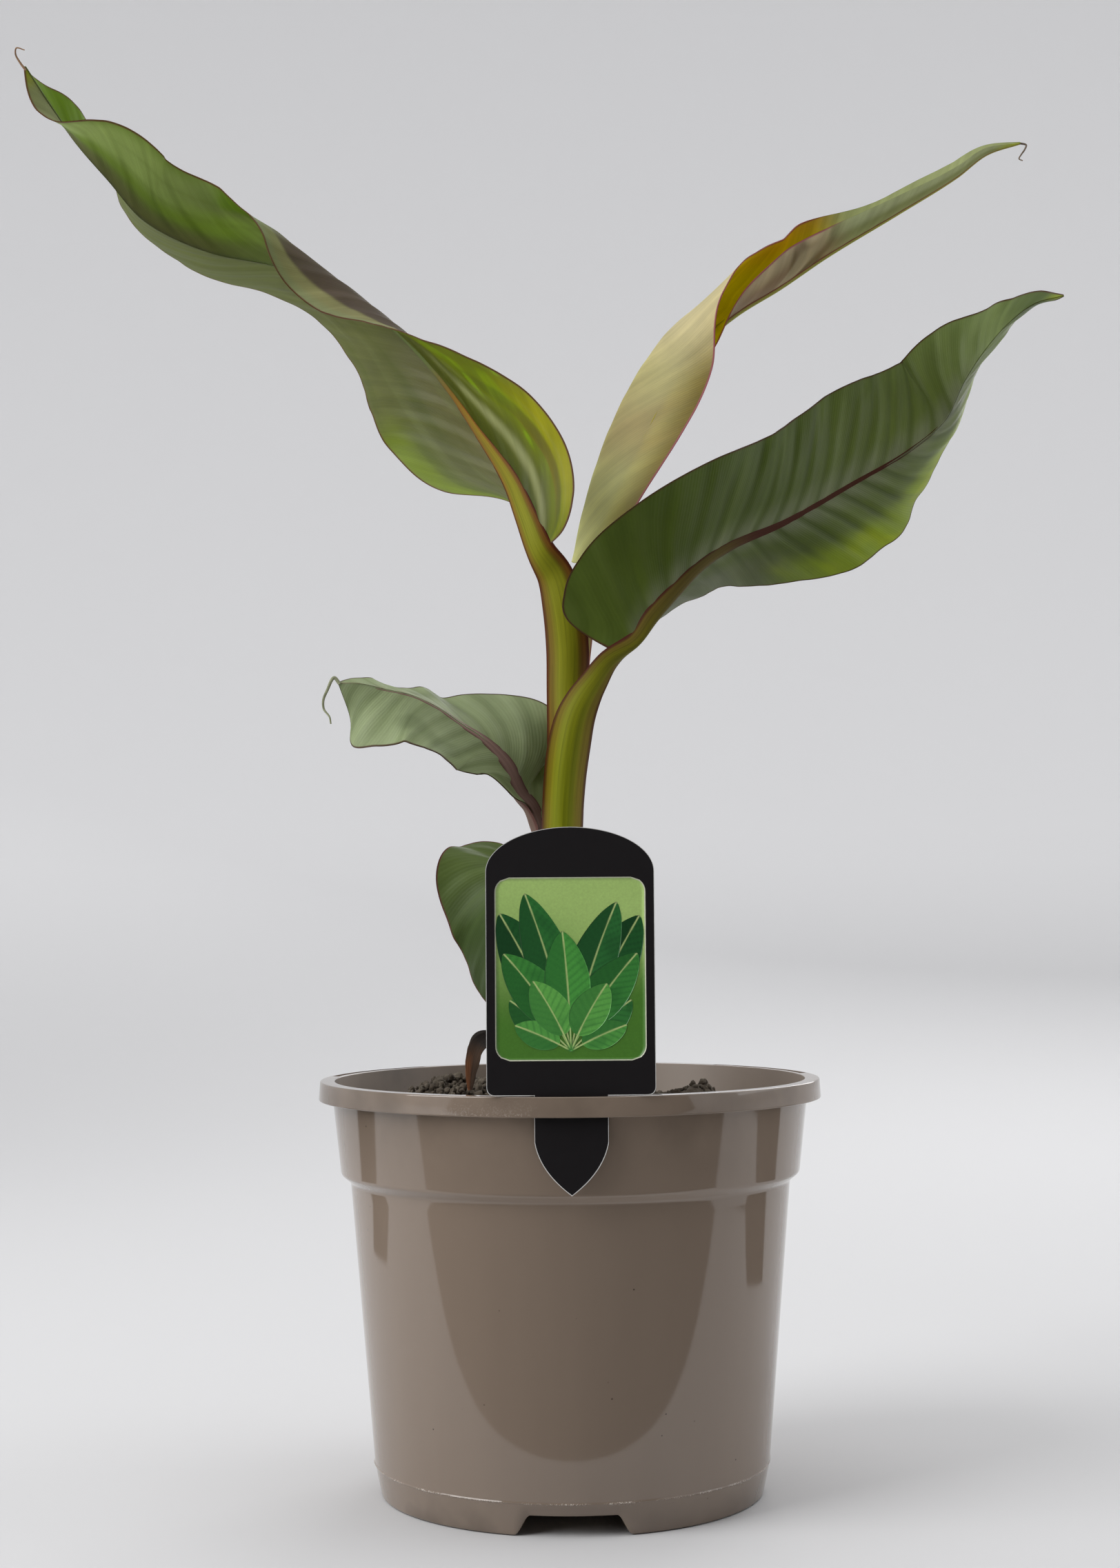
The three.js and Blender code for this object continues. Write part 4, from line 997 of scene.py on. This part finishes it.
def printed_picture():
    """The card's picture: a framed panel with a fan of plain leaves, the rear ones darker."""
    pieces = [printed_panel("label_frame", 25.9, 165.6, 228.4, 5, "#c9cdb4", "#c9cdb4", .03),
              printed_panel("label_panel", 25.5, 166, 228, 4.6, "#4c7d2c", "#a9c874", .05)]
    # Each leaf's heading in degrees, length, width and bend in mm, ground colour and shade
    fan = ((114, 53, 17, 3, "#225f2c", "#143c1e"), (66, 52, 17, -3, "#205a2a", "#123a1c"),
           (101, 56, 15, 5, "#2f7434", "#1c4f26"), (79, 53, 15, -6, "#2c6e34", "#1a4a24"),
           (134, 27, 13, 3, "#3a8038", "#205628"), (46, 27, 13, -3, "#357a38", "#1e5226"),
           (116, 40, 15, 6, "#3f8a3a", "#23602a"), (64, 40, 15, -6, "#3c863a", "#225c28"),
           (91, 41, 15, 2, "#4c9c42", "#2c7030"), (150, 21, 9, 2, "#58a248", "#327434"),
           (30, 21, 9, -2, "#549e46", "#307032"), (112, 27, 12, 3, "#64ae4e", "#3a7e38"),
           (68, 26, 12, -3, "#60aa4c", "#387a36"))
    return pieces + [printed_leaf("label_leaf_%d" % k, *leaf, .07 + .015 * k) for k, leaf in enumerate(fan)]


# Stage

def matt_paper(add):
    """Pale matt paper, with a faint glow of its own up the wall that keeps the background even."""
    glow = add("Attribute", out="Fac", attribute_name="glow")
    return add("BsdfPrincipled", {"Base Color": opaque("#d4d4d5"), "Roughness": .9,
                                  "Specular IOR Level": .1, "Emission Color": opaque("#f9f9fb"),
                                  "Emission Strength": glow})


def painted_shade_cloth(add):
    """Black cloth that sends back almost no light: painted shade standing in for the unlit room."""
    return add("BsdfDiffuse", {"Color": (.012, .011, .01, 1)})


def stage_bowl():
    """A seamless pale floor that curves up all round into a wall, turned about Z."""
    arc = np.linspace(0, np.pi / 2, 40)
    curve = np.stack([1000 + 2000 * np.sin(arc), 2600 * (1 - np.cos(arc)) ** 1.3], 1)
    profile = np.concatenate([[(0, 0), (300, 0), (600, 0)], curve, [(3000, 3400)]])
    turn = turns(96)[:, None]
    r, z = (part + 0 * turn for part in profile.T)
    below_foot = .3
    points = turned(r, turn, z - below_foot).reshape(-1, 3)
    faces = lathe_faces(*z.shape).reshape(-1, 4)
    glow = .18 * step(z, 0, 320).ravel()
    paper = make_material("studio_paper_matt", matt_paper)
    make_piece("stage_floor", points, [faces], [paper], None, dict(glow=glow))


def dark_flag(name, corners, hidden_from):
    """A black card, painted shade for the unlit room in front of the table's edge, hidden from some kinds
    of ray.
    """
    cloth = make_material(name + "_painted_shade_cloth", painted_shade_cloth)
    flag = make_piece(name, np.array(corners, float), [np.arange(len(corners))[None]], [cloth])
    for ray in hidden_from:
        setattr(flag, "visible_" + ray, False)


def softbox(name, place, aim, size, watts):
    """A rectangular soft light at a place, turned to face a point; metres."""
    data = bpy.data.lights.new(name, "AREA")
    data.shape = "RECTANGLE"
    data.size, data.size_y = size
    data.energy = watts
    light = bpy.data.objects.new(name, data)
    light.location = place
    light.rotation_euler = (Vector(aim) - Vector(place)).to_track_quat("-Z", "Y").to_euler()
    bpy.context.scene.collection.objects.link(light)


def studio():
    """Soft light from both sides, from above and from behind on the right, in a pale bowl. Black
    cards on the floor and in front, painted shade for the unlit room, are seen only in the pot's
    reflections."""
    stage_bowl()
    unseen = ("camera", "transmission", "volume_scatter", "shadow")
    above_floor = .3
    for name, outline in (
            ("stage_dark_floor", ((-1000, -139), (1000, -139), (1000, -1000), (-1000, -1000))),
            ("stage_dark_left", ((-415, 124), (-415, 255), (-600, 330), (-1000, 360), (-1000, 124))),
            ("stage_dark_right", ((530, -139), (530, 54), (370, 54), (362, 165), (520, 250), (1000, 560),
                                  (1000, -139)))):
        dark_flag(name, [(x, y, above_floor) for x, y in outline], (*unseen, "diffuse"))
    room = [(-1500, -1000, 3), (1500, -1000, 3), (1500, -1600, 2000), (-1500, -1600, 2000)]
    dark_flag("stage_dark_room", room, unseen)
    softbox("light_left", (-1.35, -.75, 1.1), (0, 0, .2), (1.1, 1.4), 23)
    softbox("light_right", (1.5, .1, 1.0), (0, 0, .25), (1.0, 1.5), 4.5)
    softbox("light_back", (.55, 1.5, 1.0), (0, 0, .45), (1.1, 1.0), 8)
    softbox("light_top", (0, 0, 2.3), (0, 0, .1), (2.2, 2.2), 14.5)
    world = bpy.data.worlds.new("studio_air")
    world.use_nodes = True
    air = world.node_tree.nodes["Background"].inputs
    air["Color"].default_value = (.83, .83, .84, 1)
    air["Strength"].default_value = .55
    bpy.context.scene.world = world
    bpy.context.scene.view_settings.view_transform = "Standard"


def camera():
    """The camera at the photograph's place: yaw 0, pitched up, rolled slightly."""
    data = bpy.data.cameras.new("camera")
    data.sensor_fit, data.sensor_width = "AUTO", SENSOR_MM
    data.lens = SENSOR_MM * FOCAL_PIXELS / PHOTO_HIGH
    data.clip_start, data.clip_end = .02, 50
    view = bpy.data.objects.new("camera", data)
    view.location = [c * .001 for c in CAMERA_MM]
    view.rotation_euler = (math.radians(90 + CAMERA_PITCH), math.radians(-CAMERA_ROLL), 0)
    bpy.context.scene.collection.objects.link(view)
    bpy.context.scene.camera = view


# Handing over

SLOTS = {"leaf_a": "leaf_green", "leaf_b": "leaf_pale", "leaf_c": "leaf_dark", "leaf_d": "leaf_grey",
         "leaf_e": "leaf_small"}

# Stalks: path up to the rib, half width and back depth in mm, crown, and margin angles in degrees
STALKS = {
    "leaf_a": dict(
        path=[(-1, 1, 200), (-.6, 2, 250), (-.6, 3, 267.3), (.1, 5, 286), (.2, 7, 302), (.4, 8, 318.5),
              (-1.2, 8, 334.7), (-4.2, 8, 347)],
        half=[4, 6.5, 7.2, 7.8, 8, 8.3, 8, 7.2], depth=[4, 6, 7, 7, 7, 7, 6.5, 6],
        crown=[.8, .8, .8, .7, .55, .4, .25, .12], left=[180] * 6 + [184, 192], right=[0] * 6 + [6, 18],
        colours=stalk_colours("#78601a", "#7f8016", "#6a4714", "#4c120a", "#66500f", "#8a5c20", .46,
                              "#6c7844", .5),
        base_crown=.2),
    "leaf_c": dict(
        path=[(-2, 0, 146), (-2.2, -.2, 183), (-2.4, -.3, 215), (-2.1, -.5, 249), (-1, -1.5, 267.3),
              (.9, -3, 281), (3.2, -4, 290.6), (6.3, -4.6, 297.5), (10.2, -4.8, 303.8), (16, -4.8, 311.5)],
        half=[11, 9.9, 8.7, 7.9, 8.1, 8.2, 7.6, 6.6, 5.4, 4.6],
        depth=[11, 9.8, 8.6, 7.7, 7.6, 7, 6.4, 5.6, 5, 4.4], crown=[.95] * 4 + [.9, .8, .7, .6, .45, .3],
        left=[180] * 8 + [178, 176], right=[0] * 8 + [-12, -40],
        colours=stalk_colours("#766614", "#848a14", "#80701c", "#42100a", "#5e4412", "#524616", .38,
                              "#45200f", .54),
        base_crown=.5),
    "leaf_b": dict(
        path=[(1, 8, 270), (2, 12, 284), (3.4, 16.5, 304), (6, 19, 326), (9, 20, 345)],
        half=[3, 4, 4.6, 4.6, 4], depth=[3, 4, 4.6, 4.6, 4], crown=[.8] * 5, left=[180] * 5, right=[0] * 5,
        colours=stalk_colours("#9c9c4c", "#a8a656", "#98884c", "#8c4a44", "#9c9a4c")),
    "leaf_d": dict(
        path=[(-2, 3, 215), (-4.5, 4.5, 230), (-8.2, 6, 240)], half=[5, 3.8, 3.2], depth=[5, 3.8, 3.2],
        crown=[.9, .8, .5], left=[180, 180, 160], right=[0, 0, -20],
        colours=stalk_colours("#84685f", "#94786e", "#84685f", "#6a4840", "#7e685c"), back=1.15),
    "leaf_e": dict(
        path=[(-2, -3, 196), (-4.5, -6, 208), (-6.8, -9, 216)], half=[5, 3.4, 2.6], depth=[5, 3.2, 2.4],
        crown=[.8, .5, .3], left=[180] * 3, right=[0] * 3,
        colours=stalk_colours("#6f6c28", "#7c7c2c", "#6f6c28", "#5e2a1c", "#6c6028")),
}

# Dry tails: path, radius at the leaf and at the end in mm, colour
TAILS = {
    "leaf_a": ([(-211.6, 12, 549.6), (-213.7, 12, 552.4), (-215.7, 12, 556.2), (-215.2, 11, 558.1),
                (-211.7, 10, 557)], .5, .22, "#8a6a4c"),
    "leaf_b": ([(185.6, 41, 527), (188.3, 41, 526.3), (187.5, 40, 524), (186.1, 40, 522),
                (185.2, 40, 520.3), (186.4, 39, 519.2)], .45, .25, "#77685a"),
    "leaf_d": ([(-84.6, -28, 301.8), (-86.6, -28, 304.1), (-89.1, -29, 299.4), (-90.5, -30, 295.4),
                (-90.3, -30, 292.3), (-88.1, -31, 289.2), (-87.6, -31, 286.6)], .7, .3, "#8f9274"),
}


def attach(piece, slot, *nodes):
    """Hands a piece to the frame: it rides on root and stands for some nodes. slot is not used."""
    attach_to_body(piece, "root")
    if nodes:
        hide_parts(*nodes)


def build():
    """Makes every piece and hands it to the frame."""
    for name, slot in SLOTS.items():
        attach(leaf_blade(name), slot, name + "_blade")
    for name, shape in STALKS.items():
        attach(leaf_stalk(name, **shape), "stalk", name + "_stalk")
    attach(stem_sheaths(), "stem", "stem")
    attach(old_sheath(), "dry_sheath", "old_sheath")
    for name, shape in TAILS.items():
        attach(thin_tail(name + "_dry_tail", *shape), SLOTS[name])
    attach(pot(), "pot_plastic", "pot")
    attach(compost(), "compost", "compost")
    attach(compost_crumbs("compost_crumbs", 2200, .6, 1.7), "compost")
    attach(compost_crumbs("compost_fines", 2300, .3, .8), "compost")
    attach(label_card(), "label_card", "label")
    for piece in printed_picture():
        attach(piece, "label_card")


camera()
studio()
build()
